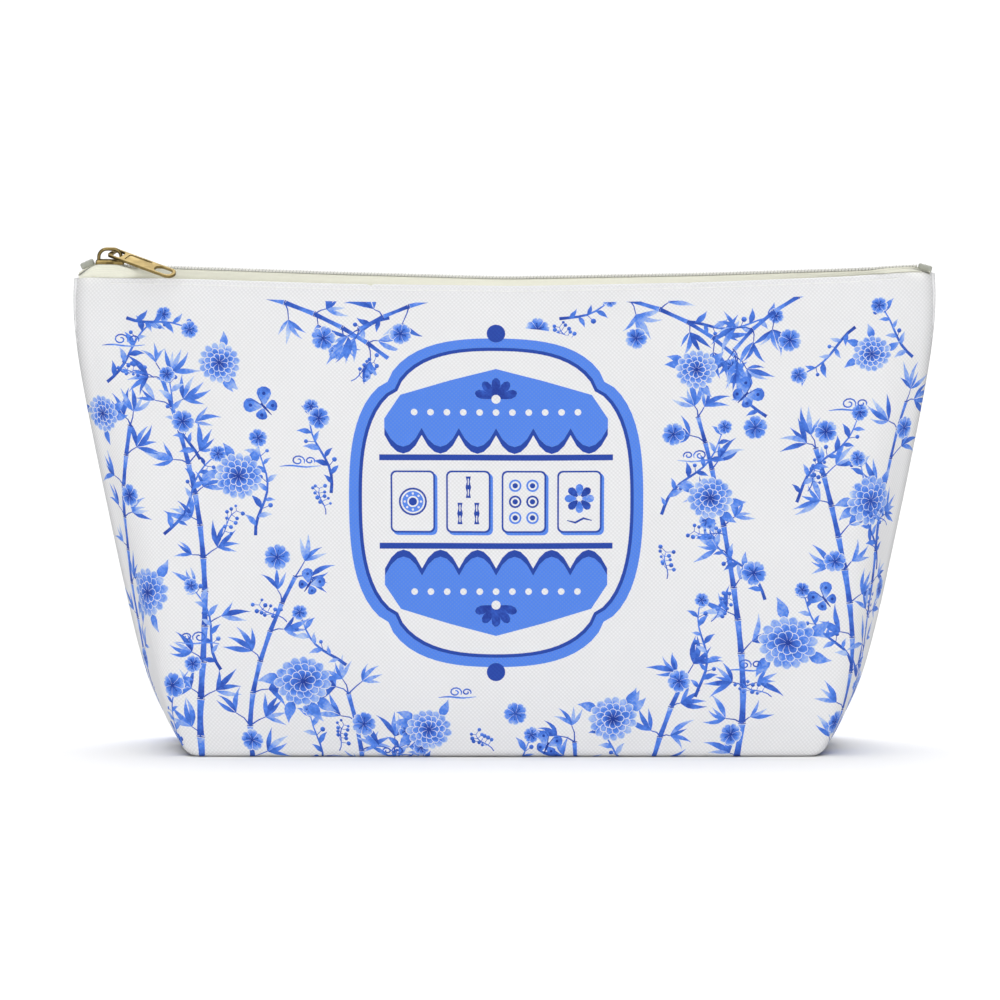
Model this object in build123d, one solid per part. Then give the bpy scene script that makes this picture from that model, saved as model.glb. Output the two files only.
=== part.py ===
from build123d import *
import math
import os

# A printed fabric pouch with a boxed base and a zip along its top edge.
# The origin is the middle of the base on the surface it stands on, +X runs
# along the zip, the front faces -Y and +Z is up. All sizes are in millimetres.

# The bag as it stands
BAG_TOP_WIDTH = 318.0
BASE_WIDTH = 235.0
BASE_DEPTH = 83.0
RIM_HEIGHT = 174.0
RIM_DEPTH = 13.0

# How the stuffed sides and faces stand out of straight lines from base to rim
SIDE_BULGE = 12.5
SIDE_LEAN = 0.45
SIDE_RISE = 11.0
SIDE_FALL = 16.0
FACE_BULGE = 6.5
FACE_RISE = 4.0
FACE_FALL = 3.0
FACE_BOW = 0.6
EDGE_INSET = 12.0
EDGE_RISE = 3.0
EDGE_ROUNDING = 0.4
EDGE_POWER = 0.6
SECTIONS = 12

# Fabric, lining and seams
FABRIC = 0.9
LINING = 0.35
LAYER_GAP = 0.2
FOLD_GAP = 0.15
LINING_DROP = 9.0
LINING_FOOT_GAP = 0.35
FLOOR_MARGIN = 3.0
SEAM_HALF = 1.0
SEAM_BEAD = 1.5
SEAM_GAP = 0.2
ALLOWANCE_WIDTH = 9.0
ALLOWANCE_THICKNESS = 0.9

# Topstitching below the folded rim
STITCH_DROP = 1.8
STITCH_PITCH = 2.3
STITCH_LENGTH = 1.7
STITCH_WIDTH = 0.4
STITCH_THICKNESS = 0.3
STITCH_GAP = 0.08

# The zip
ZIP_RISE = 5.5
ZIP_END_MARGIN = 2.2
COIL_PITCH = 1.26
COIL_HALF_WIDTH = 2.0
COIL_THICKNESS = 1.7
SPINE_WIDTH = 1.1
TOOTH_WIDTH = 0.5
TOOTH_REACH = 0.55
TAPE = 0.5
TAPE_GAP = 0.15
TAPE_SHELF = 5.1
TAPE_TUCK = 7.0
TAPE_LIFT = 0.5
TAPE_BENDS = (0.3, 0.7)
STOP_LENGTH = 4.6
STOP_THICKNESS = 2.2
STOP_TILT = 8.0

# The slider and its crown
SLIDER_LENGTH = 10.6
SLIDER_SHOULDER = 4.3
SLIDER_TAIL = 3.3
SLIDER_CORNER = 0.7
SLIDER_PLATE = 0.9
SLIDER_BEVEL = 0.55
CHANNEL_HALF_HEIGHT = 1.25
CHANNEL_TAIL = 2.4
CHANNEL_MOUTH = 3.5
TAPE_SLOT = 0.9
SLIDER_STOP_GAP = 0.2
WEDGE_WIDTH = 2.4
WEDGE_LENGTH = 4.0
CROWN_LENGTH = 9.6
CROWN_HEIGHT = 4.6
CROWN_WIRE = 1.3
CROWN_CORNER = 3.0

# The pull tab and the way it lies
TAB_LENGTH = 28.4
TAB_WIDTH = 5.8
TAB_THICKNESS = 1.1
TAB_RIM = 0.75
TAB_RECESS = 0.25
TAB_BAR = 0.65
TAB_EYE_LENGTH = 4.1
TAB_EYE_WIDTH = 4.4
TAB_FIELD_START = 6.6
TAB_FIELD_LENGTH = 10.4
TAB_WINDOW_LENGTH = 7.6
TAB_WINDOW_END = 1.3
TAB_BAR_HEIGHT = 2.55
TAB_BAR_GAP = 1.85
TAB_SIDE_SHIFT = -0.35
TAB_TURN = 32.0
TAB_DIP = 15.0
TAB_ROLL = 22.0

BASE_TOP = FABRIC
ZIP_HEIGHT = RIM_HEIGHT + ZIP_RISE
SLIDER_TRAVEL = (
    BAG_TOP_WIDTH - 2 * (ZIP_END_MARGIN + STOP_LENGTH + SLIDER_STOP_GAP) - SLIDER_LENGTH
)
SLIDER_X = -SLIDER_TRAVEL / 2
PLATE_TOP = ZIP_HEIGHT + CHANNEL_HALF_HEIGHT + SLIDER_PLATE


def swell(height, rise, fall):
    """How much of a bulge is reached at a height, from 0 at the base to 0 at the rim."""
    share = min(height / RIM_HEIGHT, 1)
    return (1 - (1 - share) ** rise) * (1 - share**fall)


def smooth_section(height):
    """Half width at the seam, half depth at the middle, and the soft edge's x and y."""
    share = min(height / RIM_HEIGHT, 1)
    half_width = BASE_WIDTH / 2 + (BAG_TOP_WIDTH - BASE_WIDTH) / 2 * share
    half_width += SIDE_BULGE * swell(height, SIDE_RISE, SIDE_FALL) * (1 - SIDE_LEAN * share)
    half_depth = BASE_DEPTH / 2 + (RIM_DEPTH - BASE_DEPTH) / 2 * share
    half_depth += FACE_BULGE * swell(height, FACE_RISE, FACE_FALL)
    edge_x = half_width - EDGE_INSET * (1 - (1 - share) ** EDGE_RISE)
    edge_y = half_depth * (1 - EDGE_ROUNDING * share**EDGE_POWER)
    return half_width, half_depth + FACE_BOW, edge_x, edge_y


def section(height):
    """The same four sizes, on straight lines between the heights where layers bend."""
    step = RIM_HEIGHT / SECTIONS
    below = min(int(height / step), SECTIONS - 1)
    low, high = smooth_section(below * step), smooth_section((below + 1) * step)
    share = height / step - below
    return tuple(a + (b - a) * share for a, b in zip(low, high))


def inset_points(height, inset):
    """Seam point, soft edge and middle of the front at a height, moved inwards."""
    half_width, half_depth, edge_x, edge_y = section(height)
    run_x, run_y = edge_x - half_width, SEAM_HALF - edge_y
    length = math.hypot(run_x, run_y)
    side_x, side_y = run_y / length, -run_x / length
    chord = math.hypot(edge_x, half_depth - edge_y)
    front_x, front_y = -(half_depth - edge_y) / chord, edge_x / chord
    share = inset / (1 + side_x * front_x + side_y * front_y)
    inner_x = edge_x + share * (side_x + front_x)
    inner_y = -edge_y + share * (side_y + front_y)
    seam_x = inner_x + (-SEAM_HALF - inner_y) * run_x / run_y
    return (seam_x, -SEAM_HALF), (inner_x, inner_y), (0.0, inset - half_depth)


def band(height, outer, inner):
    """A face in the shape of the front wall's section, between two insets."""
    seam, edge, middle = inset_points(height, outer)
    seam_in, edge_in, middle_in = inset_points(height, inner)

    def at(point, side=1):
        return (side * point[0], point[1], height)

    edges = [
        Line(at(seam, -1), at(edge, -1)),
        ThreePointArc(at(edge, -1), at(middle), at(edge)),
        Line(at(edge), at(seam)),
        Line(at(seam), at(seam_in)),
        Line(at(seam_in), at(edge_in)),
        ThreePointArc(at(edge_in), at(middle_in), at(edge_in, -1)),
        Line(at(edge_in, -1), at(seam_in, -1)),
        Line(at(seam_in, -1), at(seam, -1)),
    ]
    return Face(Wire(edges))


def section_heights(foot, top):
    """The heights where a layer bends, with its own foot and top."""
    step = RIM_HEIGHT / SECTIONS
    between = [i * step for i in range(SECTIONS + 1) if foot < i * step < top]
    return [foot, *between, top]


def wall(foot, top, outer, inner):
    """The front half of a layer of the bag, from side seam to side seam."""
    faces = [band(height, outer, inner) for height in section_heights(foot, top)]
    return loft(faces, ruled=True)


def base_outline(inset, gap):
    """The front half of the base, drawn on the surface the bag stands on."""
    x = BASE_WIDTH / 2 - inset
    y = BASE_DEPTH / 2 - inset
    edges = [
        Line((-x, -gap), (-x, -y)),
        ThreePointArc((-x, -y), (0, -y - FACE_BOW), (x, -y)),
        Line((x, -y), (x, -gap)),
        Line((x, -gap), (-x, -gap)),
    ]
    return Face(Wire(edges))


def front_panel():
    """The printed front, from the fold at the base to the folded rim."""
    return wall(BASE_TOP + FOLD_GAP, RIM_HEIGHT, 0, FABRIC)


def front_base():
    """The front panel's share of the base, up to the middle seam."""
    return extrude(base_outline(0, FOLD_GAP), FABRIC)


def front_lining():
    outer = FABRIC + LAYER_GAP
    return wall(BASE_TOP + LINING_FOOT_GAP, RIM_HEIGHT - LINING_DROP, outer, outer + LINING)


def base_lining():
    """One lining piece over the whole base, lying on the seam allowances."""
    half = extrude(base_outline(FLOOR_MARGIN, 0), LINING)
    floor = BASE_TOP + ALLOWANCE_THICKNESS + LAYER_GAP
    return Pos(0, 0, floor) * (half + mirror(half, Plane.XZ))


def bottom_seam():
    """The seam allowance that joins the two panels along the middle of the base."""
    length = BASE_WIDTH - 2 * (FLOOR_MARGIN + ALLOWANCE_WIDTH + SEAM_GAP)
    strip = Box(length, ALLOWANCE_WIDTH, ALLOWANCE_THICKNESS)
    return Pos(0, 0, BASE_TOP + LAYER_GAP / 2 + ALLOWANCE_THICKNESS / 2) * strip


def corner_seam(side):
    """The allowance of the seam across one end of the base, which boxes the corner."""
    x = side * (BASE_WIDTH / 2 - FLOOR_MARGIN - ALLOWANCE_WIDTH / 2)
    strip = Box(ALLOWANCE_WIDTH, BASE_DEPTH - 2 * FLOOR_MARGIN, ALLOWANCE_THICKNESS)
    return Pos(x, 0, BASE_TOP + LAYER_GAP / 2 + ALLOWANCE_THICKNESS / 2) * strip


def side_seam(side):
    """The sewn edge where front and back meet, from the base to the top corner."""
    half = SEAM_HALF - SEAM_GAP
    faces = []
    for height in section_heights(BASE_TOP + FOLD_GAP, RIM_HEIGHT):
        outer = section(height)[0]
        inner = outer - SEAM_BEAD
        corners = [(outer, -half), (outer, half), (inner, half), (inner, -half)]
        points = [(side * x, y, height) for x, y in corners]
        faces.append(Face(Wire.make_polygon(points, close=True)))
    return loft(faces, ruled=True)


def face_depth(x, height):
    """How far the front's outer face lies from the middle plane."""
    half_width, half_depth, edge_x, edge_y = section(height)
    if abs(x) > edge_x:
        share = (half_width - abs(x)) / (half_width - edge_x)
        return SEAM_HALF + (edge_y - SEAM_HALF) * share
    bow = half_depth - edge_y
    radius = (edge_x**2 + bow**2) / (2 * bow)
    return half_depth - radius + math.sqrt(radius**2 - x**2)


def topstitch():
    """The row of stitches along the front rim, each a thread lying on the fabric."""
    height = RIM_HEIGHT - STITCH_DROP
    edge_x = section(height)[2]
    count = int(2 * edge_x / STITCH_PITCH) - 1
    stitches = []
    for i in range(count):
        x = (i - (count - 1) / 2) * STITCH_PITCH
        slope = face_depth(x + STITCH_PITCH / 2, height) - face_depth(x - STITCH_PITCH / 2, height)
        turn = -math.degrees(math.atan2(slope, STITCH_PITCH))
        y = -face_depth(x, height - STITCH_WIDTH) - STITCH_GAP - STITCH_THICKNESS / 2
        thread = Box(STITCH_LENGTH, STITCH_THICKNESS, STITCH_WIDTH)
        stitches.append(Pos(x, y, height) * Rot(0, 0, turn) * thread)
    return Compound(children=stitches)


def tape_section(x, inside, tucked, shelf):
    """One cross-section of the front tape, from beside the coil down to the rim.

    Near the ends a shelf keeps it outside the slider, and elsewhere it slopes. It
    comes down inside the rim, except at its very end, and tucks in where there is room.
    """
    near = COIL_HALF_WIDTH + TAPE_GAP
    top = ZIP_HEIGHT + TAPE / 2
    foot_y = face_depth(x, RIM_HEIGHT)
    foot_z = RIM_HEIGHT + TAPE_LIFT
    waist_z = foot_z + TAPE
    if inside:
        foot_y -= FABRIC + TAPE_GAP
    if tucked:
        foot_z = RIM_HEIGHT - TAPE_TUCK
    outer = [(near, top)]
    if shelf:
        outer += [(TAPE_SHELF, top), (TAPE_SHELF, waist_z + TAPE)]
    else:
        outer += [
            (near + (foot_y - near) * share, top + (waist_z - top) * share)
            for share in TAPE_BENDS
        ]
    outer += [(foot_y, waist_z), (foot_y, foot_z)]
    drops = [(0, TAPE), (TAPE, TAPE), (TAPE, 0), (TAPE, 0), (TAPE, 0)]
    if not shelf:
        drops[1] = drops[2] = (TAPE / 2, TAPE)
    inner = [(y - across, z - down) for (y, z), (across, down) in zip(outer, drops)]
    points = [(x, -y, z) for y, z in outer + inner[::-1]]
    return Face(Wire.make_polygon(points, close=True))


def zip_tape():
    """The front tape, tucked behind the rim except close to the corners."""
    end = BAG_TOP_WIDTH / 2 - ZIP_END_MARGIN
    edge_x = inset_points(RIM_HEIGHT, FABRIC + TAPE_GAP)[1][0]
    shelf_end = -SLIDER_X - SLIDER_LENGTH / 2 - TAPE
    places = [
        (-end, False, False, True),
        (-edge_x, True, False, True),
        (TAPE - edge_x, True, True, True),
        (-shelf_end, True, True, True),
        (TAPE_SHELF - shelf_end, True, True, False),
        (-shelf_end / 2, True, True, False),
        (0, True, True, False),
    ]
    places += [(-x, *how) for x, *how in reversed(places[:-1])]
    return loft([tape_section(*place) for place in places], ruled=True)


def zip_coil(side):
    """Half of the coil: a spine with teeth that lie between the other half's teeth."""
    start = SLIDER_X - SLIDER_LENGTH / 2 + WEDGE_LENGTH + TAPE_GAP * 2
    end = BAG_TOP_WIDTH / 2 - ZIP_END_MARGIN - STOP_LENGTH - TAPE_GAP
    root = COIL_HALF_WIDTH - SPINE_WIDTH
    offset = 0 if side < 0 else COIL_PITCH / 2
    count = int((end - start - COIL_PITCH) / COIL_PITCH)
    points = [(start, side * COIL_HALF_WIDTH), (start, side * root)]
    for i in range(count):
        left = start + offset + i * COIL_PITCH + TAPE_GAP
        right = left + TOOTH_WIDTH
        points += [
            (left, side * root),
            (left, -side * TOOTH_REACH),
            (right, -side * TOOTH_REACH),
            (right, side * root),
        ]
    points += [(end, side * root), (end, side * COIL_HALF_WIDTH)]
    outline = Face(Wire.make_polygon(points, close=True))
    coil = extrude(outline, COIL_THICKNESS, dir=(0, 0, 1))
    return Pos(0, 0, ZIP_HEIGHT - COIL_THICKNESS / 2) * coil


def end_stop(side):
    """The block that closes the zip at one end, turned down towards the corner."""
    x = side * (BAG_TOP_WIDTH / 2 - ZIP_END_MARGIN - STOP_LENGTH / 2)
    block = Box(STOP_LENGTH, 2 * COIL_HALF_WIDTH, STOP_THICKNESS)
    block = fillet(block.edges().filter_by(Axis.Y), STOP_THICKNESS / 5)
    return Pos(x, 0, ZIP_HEIGHT) * Rot(0, side * STOP_TILT, 0) * block


def slider_outline(shoulder, tail, end):
    """The slider's plan, wide at the mouth where the halves part."""
    half = SLIDER_LENGTH / 2
    points = [
        (-half - end, -shoulder),
        (-half / 4, -shoulder),
        (half / 4, -tail),
        (half + end, -tail),
        (half + end, tail),
        (half / 4, tail),
        (-half / 4, shoulder),
        (-half - end, shoulder),
    ]
    return Face(Wire.make_polygon([(x, y, 0) for x, y in points], close=True))


def slider_body():
    """Two plates joined by the wedge, with flanges that hold the coil between them."""
    plan = slider_outline(SLIDER_SHOULDER, SLIDER_TAIL, 0)
    rounded = fillet(plan.vertices(), SLIDER_CORNER)
    channel = slider_outline(CHANNEL_MOUTH, CHANNEL_TAIL, 1)
    height = 2 * (CHANNEL_HALF_HEIGHT + SLIDER_PLATE)
    body = Pos(0, 0, -height / 2) * extrude(rounded, height)
    faces = body.faces().sort_by(Axis.Z)
    body = chamfer(faces[-1].edges() + faces[0].edges(), SLIDER_BEVEL)
    body -= Pos(0, 0, -CHANNEL_HALF_HEIGHT) * extrude(channel, 2 * CHANNEL_HALF_HEIGHT)
    body -= Box(2 * SLIDER_LENGTH, 4 * SLIDER_SHOULDER, TAPE_SLOT)
    back = -SLIDER_LENGTH / 2 + SLIDER_CORNER
    tip = -SLIDER_LENGTH / 2 + WEDGE_LENGTH
    wedge = [(back, -WEDGE_WIDTH / 3), ((back + tip) / 2, -WEDGE_WIDTH / 2), (tip, 0)]
    wedge += [((back + tip) / 2, WEDGE_WIDTH / 2), (back, WEDGE_WIDTH / 3)]
    plan = Face(Wire.make_polygon([(x, y, 0) for x, y in wedge], close=True))
    body += Pos(0, 0, -CHANNEL_HALF_HEIGHT) * extrude(plan, 2 * CHANNEL_HALF_HEIGHT)
    return Pos(SLIDER_X, 0, ZIP_HEIGHT) * body


def slider_crown():
    """The arch over the slider that carries the pull tab."""
    foot = (CROWN_LENGTH - CROWN_WIRE) / 2
    top = CROWN_HEIGHT - CROWN_WIRE / 2
    corners = [(-foot, 0, 0), (-foot, 0, top), (foot, 0, top), (foot, 0, 0)]
    path = FilletPolyline(*corners, radius=CROWN_CORNER)
    ring = Plane(origin=(-foot, 0, 0), z_dir=(0, 0, 1)) * Circle(CROWN_WIRE / 2)
    return Pos(SLIDER_X, 0, PLATE_TOP) * sweep(ring, path)


def tab_plane():
    """The pull tab's own plane: x along the tab, z out of its face, origin on its bar."""
    turn, dip, roll = (math.radians(a) for a in (TAB_TURN, TAB_DIP, TAB_ROLL))
    along = Vector(math.cos(dip) * math.cos(turn), -math.cos(dip) * math.sin(turn), -math.sin(dip))
    across = Vector(math.sin(turn), math.cos(turn), 0)
    up = along.cross(across)
    face = up * math.cos(roll) - across * math.sin(roll)
    leg = CROWN_LENGTH / 2 - CROWN_WIRE
    origin = (
        SLIDER_X + leg - TAB_BAR - TAB_BAR_GAP,
        -TAB_SIDE_SHIFT,
        PLATE_TOP + TAB_BAR_HEIGHT,
    )
    return Plane(origin=origin, x_dir=along, z_dir=face)


def pull_tab():
    """A flat cast tab with a raised rim, an eye for the crown and a window at its tip."""
    half = TAB_THICKNESS / 2
    start = -TAB_BAR
    middle = (start + TAB_LENGTH) / 2
    length = TAB_LENGTH - start
    plan = Pos(middle, 0) * SlotOverall(length, TAB_WIDTH)
    square = Pos(start + TAB_WIDTH / 2, 0) * RectangleRounded(TAB_WIDTH, TAB_WIDTH, TAB_WIDTH / 5)
    tab = Pos(0, 0, -half) * extrude(plan + square, TAB_THICKNESS)
    faces = tab.faces().sort_by(Axis.Z)
    tab = fillet(faces[-1].edges() + faces[0].edges(), TAB_THICKNESS / 5)
    eye_x = TAB_BAR + TAB_EYE_LENGTH / 2
    eye = Pos(eye_x, 0) * RectangleRounded(TAB_EYE_LENGTH, TAB_EYE_WIDTH, TAB_EYE_LENGTH / 4)
    inner = TAB_WIDTH - 2 * TAB_RIM
    field_x = TAB_FIELD_START + TAB_FIELD_LENGTH / 2
    field = Pos(field_x, 0) * RectangleRounded(TAB_FIELD_LENGTH, inner, inner / 5)
    window_x = TAB_LENGTH - TAB_WINDOW_END - TAB_WINDOW_LENGTH / 2
    window = Pos(window_x, 0) * SlotOverall(TAB_WINDOW_LENGTH, inner)
    tab -= Pos(0, 0, -TAB_THICKNESS) * extrude(eye, 2 * TAB_THICKNESS)
    tab -= Pos(0, 0, -TAB_THICKNESS) * extrude(window, 2 * TAB_THICKNESS)
    tab -= Pos(0, 0, half - TAB_RECESS) * extrude(field, TAB_THICKNESS)
    tab -= Pos(0, 0, TAB_RECESS - half - TAB_THICKNESS) * extrude(field, TAB_THICKNESS)
    return tab_plane() * tab


def build():
    """Every piece of the bag by its name."""
    panel, base, lining, tape, stitches = (
        front_panel(),
        front_base(),
        front_lining(),
        zip_tape(),
        topstitch(),
    )
    return {
        "front_panel": panel,
        "back_panel": mirror(panel, Plane.XZ),
        "front_panel_base": base,
        "back_panel_base": mirror(base, Plane.XZ),
        "front_lining": lining,
        "back_lining": mirror(lining, Plane.XZ),
        "base_lining": base_lining(),
        "bottom_seam": bottom_seam(),
        "left_corner_seam": corner_seam(-1),
        "right_corner_seam": corner_seam(1),
        "left_side_seam": side_seam(-1),
        "right_side_seam": side_seam(1),
        "front_topstitch": stitches,
        "back_topstitch": mirror(stitches, Plane.XZ),
        "front_zip_tape": tape,
        "back_zip_tape": mirror(tape, Plane.XZ),
        "front_zip_coil": zip_coil(-1),
        "back_zip_coil": zip_coil(1),
        "left_end_stop": end_stop(-1),
        "right_end_stop": end_stop(1),
        "slider_body": slider_body(),
        "slider_crown": slider_crown(),
        "pull_tab": pull_tab(),
    }


os.makedirs("parts", exist_ok=True)
for name, piece in build().items():
    export_step(piece, f"parts/{name}.step")
bar = tab_plane()
print("slider travel", round(SLIDER_TRAVEL, 3))
print("tab bar at", tuple(round(v, 3) for v in bar.origin), "along", tuple(round(v, 4) for v in bar.y_dir))
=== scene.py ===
import math
import random

import bpy
import numpy as np
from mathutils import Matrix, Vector, geometry


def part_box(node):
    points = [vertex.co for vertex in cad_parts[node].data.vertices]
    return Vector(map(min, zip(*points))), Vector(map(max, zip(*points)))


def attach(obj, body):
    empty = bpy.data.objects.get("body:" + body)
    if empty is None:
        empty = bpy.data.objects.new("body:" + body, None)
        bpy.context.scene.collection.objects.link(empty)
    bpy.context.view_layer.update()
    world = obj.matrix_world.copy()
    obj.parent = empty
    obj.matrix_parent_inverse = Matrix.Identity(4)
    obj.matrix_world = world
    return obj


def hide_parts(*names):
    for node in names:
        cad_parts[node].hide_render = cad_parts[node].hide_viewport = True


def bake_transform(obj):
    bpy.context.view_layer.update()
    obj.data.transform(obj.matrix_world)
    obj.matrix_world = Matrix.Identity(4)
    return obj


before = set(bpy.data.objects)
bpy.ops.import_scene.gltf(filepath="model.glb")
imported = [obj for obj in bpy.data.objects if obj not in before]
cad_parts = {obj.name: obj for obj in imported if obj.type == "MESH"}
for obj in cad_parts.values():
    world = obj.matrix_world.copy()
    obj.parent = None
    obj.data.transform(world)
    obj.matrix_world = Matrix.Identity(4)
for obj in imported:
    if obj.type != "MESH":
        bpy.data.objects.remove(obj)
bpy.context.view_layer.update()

# Everything below is worked out in millimetres and made in metres.
MM = 0.001

# The bag's walls, as the frame has them
RIM = 174.0
BASE_HALF = 117.5
TOP_HALF = 160.2
BASE_DEPTH = 41.5
RIM_DEPTH = 6.5
SIDE_BULGE, SIDE_LEAN, SIDE_RISE, SIDE_FALL = 11.8, 0.47, 11, 10
FACE_BULGE, FACE_RISE, FACE_FALL = 6.5, 4, 3
EDGE_INSET, EDGE_RISE = 12.0, 3
EDGE_ROUNDING, EDGE_POWER = 0.4, 0.6
EDGE_CUT, EDGE_CUT_GROWTH, EDGE_CUT_LIMIT = 6, 8, 0.46
BOW = 0.6
SEAM_HALF = 0.35

# Flat cloth: across from the middle to the side seam, and up from the base fold
CLOTH_HALF = 159.0
CLOTH_RIM = 178.0
FOLD_RADIUS = 3.0
FOLD_LENGTH = FOLD_RADIUS * math.pi / 2
RIM_ROLL = 2.2
HEM = 9.0
LINING_INSET = 1.25
PRINT_TOP = 172.0
LONGEST_EDGE = 4.0

# A distance out from the middle across the walls
OPENS_FROM = 125.0

# Sewing and zip
STITCH_DROP, STITCH_PITCH, STITCH_COUNT = 1.3, 2.3, 63
STITCH_DIP, STITCH_RISE = 0.10, 0.34
COIL_PITCH, COIL_EDGE, COIL_OFFSET = 1.26, 2.0, 0.68
COIL_START, COIL_END = -147.3, 153.6
TAPE_TUCK, TAPE_THICKNESS, TAPE_WIDTH = 6.0, 0.42, 15
PUCKER_MIDDLE, PUCKER_REACH = -148.5, 7.5


def smooth_line(points, reach=9.0):
    """A smooth curve near the points, as a function of x."""
    half_length, step, kernel_half = 190, 0.25, 160
    xs = np.linspace(-half_length, half_length, round(2 * half_length / step) + 1)
    known_x, known_y = zip(*points)
    ys = np.interp(xs, known_x, known_y)
    kernel = np.exp(-((np.arange(-kernel_half, kernel_half + 1) * step / reach) ** 2))
    padded = np.pad(ys, kernel_half, mode="edge")
    ys = np.convolve(padded, kernel / kernel.sum(), mode="valid")
    return lambda x: np.interp(x, xs, ys)


# Heights of the cloth's rim and of the zip's chain along the bag, which dip towards the middle
RIM_HEIGHTS = [
    (-159, 174.6), (-120, 174.2), (-61, 172.4), (6, 171.6),
    (72, 172.9), (132, 175.2), (148, 176.7), (159, 176.6),
]
CHAIN_HEIGHTS = [
    (-160, 179.6), (-146, 179.5), (-120, 178.7), (-61, 176.6), (0, 174.9),
    (72, 176.2), (133, 178.1), (150, 179.2), (160, 179.5),
]
rim_line = smooth_line(RIM_HEIGHTS)
chain_line = smooth_line(CHAIN_HEIGHTS, 7)


def swell(share, rise, fall):
    """How much the stuffed wall stands out at a share of its height: none at the foot and the rim."""
    return (1 - (1 - share) ** rise) * (1 - share**fall)


def section(u, height):
    """The front's x and y for flat places u across, at heights up the wall."""
    share = np.clip(height / RIM, 0, 1)
    side = np.sign(u) + (u == 0)
    wide = BASE_HALF + (TOP_HALF - BASE_HALF) * share
    wide += SIDE_BULGE * (1 - SIDE_LEAN * share) * swell(share, SIDE_RISE, SIDE_FALL)
    deep = BASE_DEPTH + (RIM_DEPTH - BASE_DEPTH) * share + FACE_BULGE * swell(share, FACE_RISE, FACE_FALL)
    edge_x = wide - EDGE_INSET * (1 - (1 - share) ** EDGE_RISE)
    edge_y = deep * (1 - EDGE_ROUNDING * share**EDGE_POWER)
    deep = deep + BOW
    bow = deep - edge_y
    leg = np.hypot(wide - edge_x, edge_y - SEAM_HALF)
    cut = np.minimum(EDGE_CUT + EDGE_CUT_GROWTH * share, EDGE_CUT_LIMIT * leg)
    ax = edge_x - cut
    ay = deep - bow * (ax / edge_x) ** 2
    slope = 2 * bow * ax / edge_x**2
    run_x, run_y = (wide - edge_x) / leg, (edge_y - SEAM_HALF) / leg
    t = (edge_y - ay + slope * (edge_x - ax)) / (run_y - slope * run_x)
    qx, qy = edge_x + t * run_x, edge_y - t * run_y
    bx, by = qx + cut * run_x, qy - cut * run_y
    corner = (2 * np.hypot(bx - ax, by - ay) + np.hypot(qx - ax, qy - ay) + cut) / 3
    rest = np.hypot(wide - bx, by - SEAM_HALF)
    place = np.abs(u) / CLOTH_HALF * (ax + corner + rest)
    on_face = place <= ax
    on_corner = (place > ax) & (place <= ax + corner)
    s = np.clip((place - ax) / corner, 0, 1)
    r = (place - ax - corner) / rest
    round_x = (1 - s) ** 2 * ax + 2 * s * (1 - s) * qx + s * s * bx
    round_y = (1 - s) ** 2 * ay + 2 * s * (1 - s) * qy + s * s * by
    x = np.where(on_face, place, round_x)
    y = np.where(on_face, deep - bow * (place / edge_x) ** 2, round_y)
    late = ~(on_face | on_corner)
    x = np.where(late, bx + (wide - bx) * r, x)
    y = np.where(late, by + (SEAM_HALF - by) * r, y)
    return side * x, -y


def ripple(u, v):
    """Small soft waves of stuffed cloth, none at the seams, the fold and the rim."""
    waves = (
        0.30 * np.sin(u / 17.0 + 0.6 * np.sin(v / 23.0) + 0.7)
        + 0.34 * np.sin((u + 0.7 * v) / 26.0 + 1.9)
        + 0.26 * np.sin((u * 0.5 - v) / 15.0 + 0.4)
        + 0.18 * np.sin((u + 1.6 * v) / 9.5)
    )
    up = np.clip(v / 22, 0, 1) * np.clip((CLOTH_RIM - v) / 22, 0, 1)
    across = np.clip((CLOTH_HALF - np.abs(u)) / 12, 0, 1)
    fold = np.abs(np.abs(u) - (124 + 0.10 * v)) - 0.03 * v
    crease = 1.3 * np.exp(-((fold / 7.0) ** 2)) * np.clip(v / 12, 0, 1) * np.clip((80 - v) / 60, 0, 1)
    corner = 0.8 * np.exp(-(((np.abs(u) - 138 + 0.5 * (CLOTH_RIM - v)) / 6.5) ** 2))
    corner = corner * np.clip((v - 118) / 40, 0, 1) * np.clip((CLOTH_RIM - v) / 14, 0, 1)
    return waves * up * across - crease * across - corner * across


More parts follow.
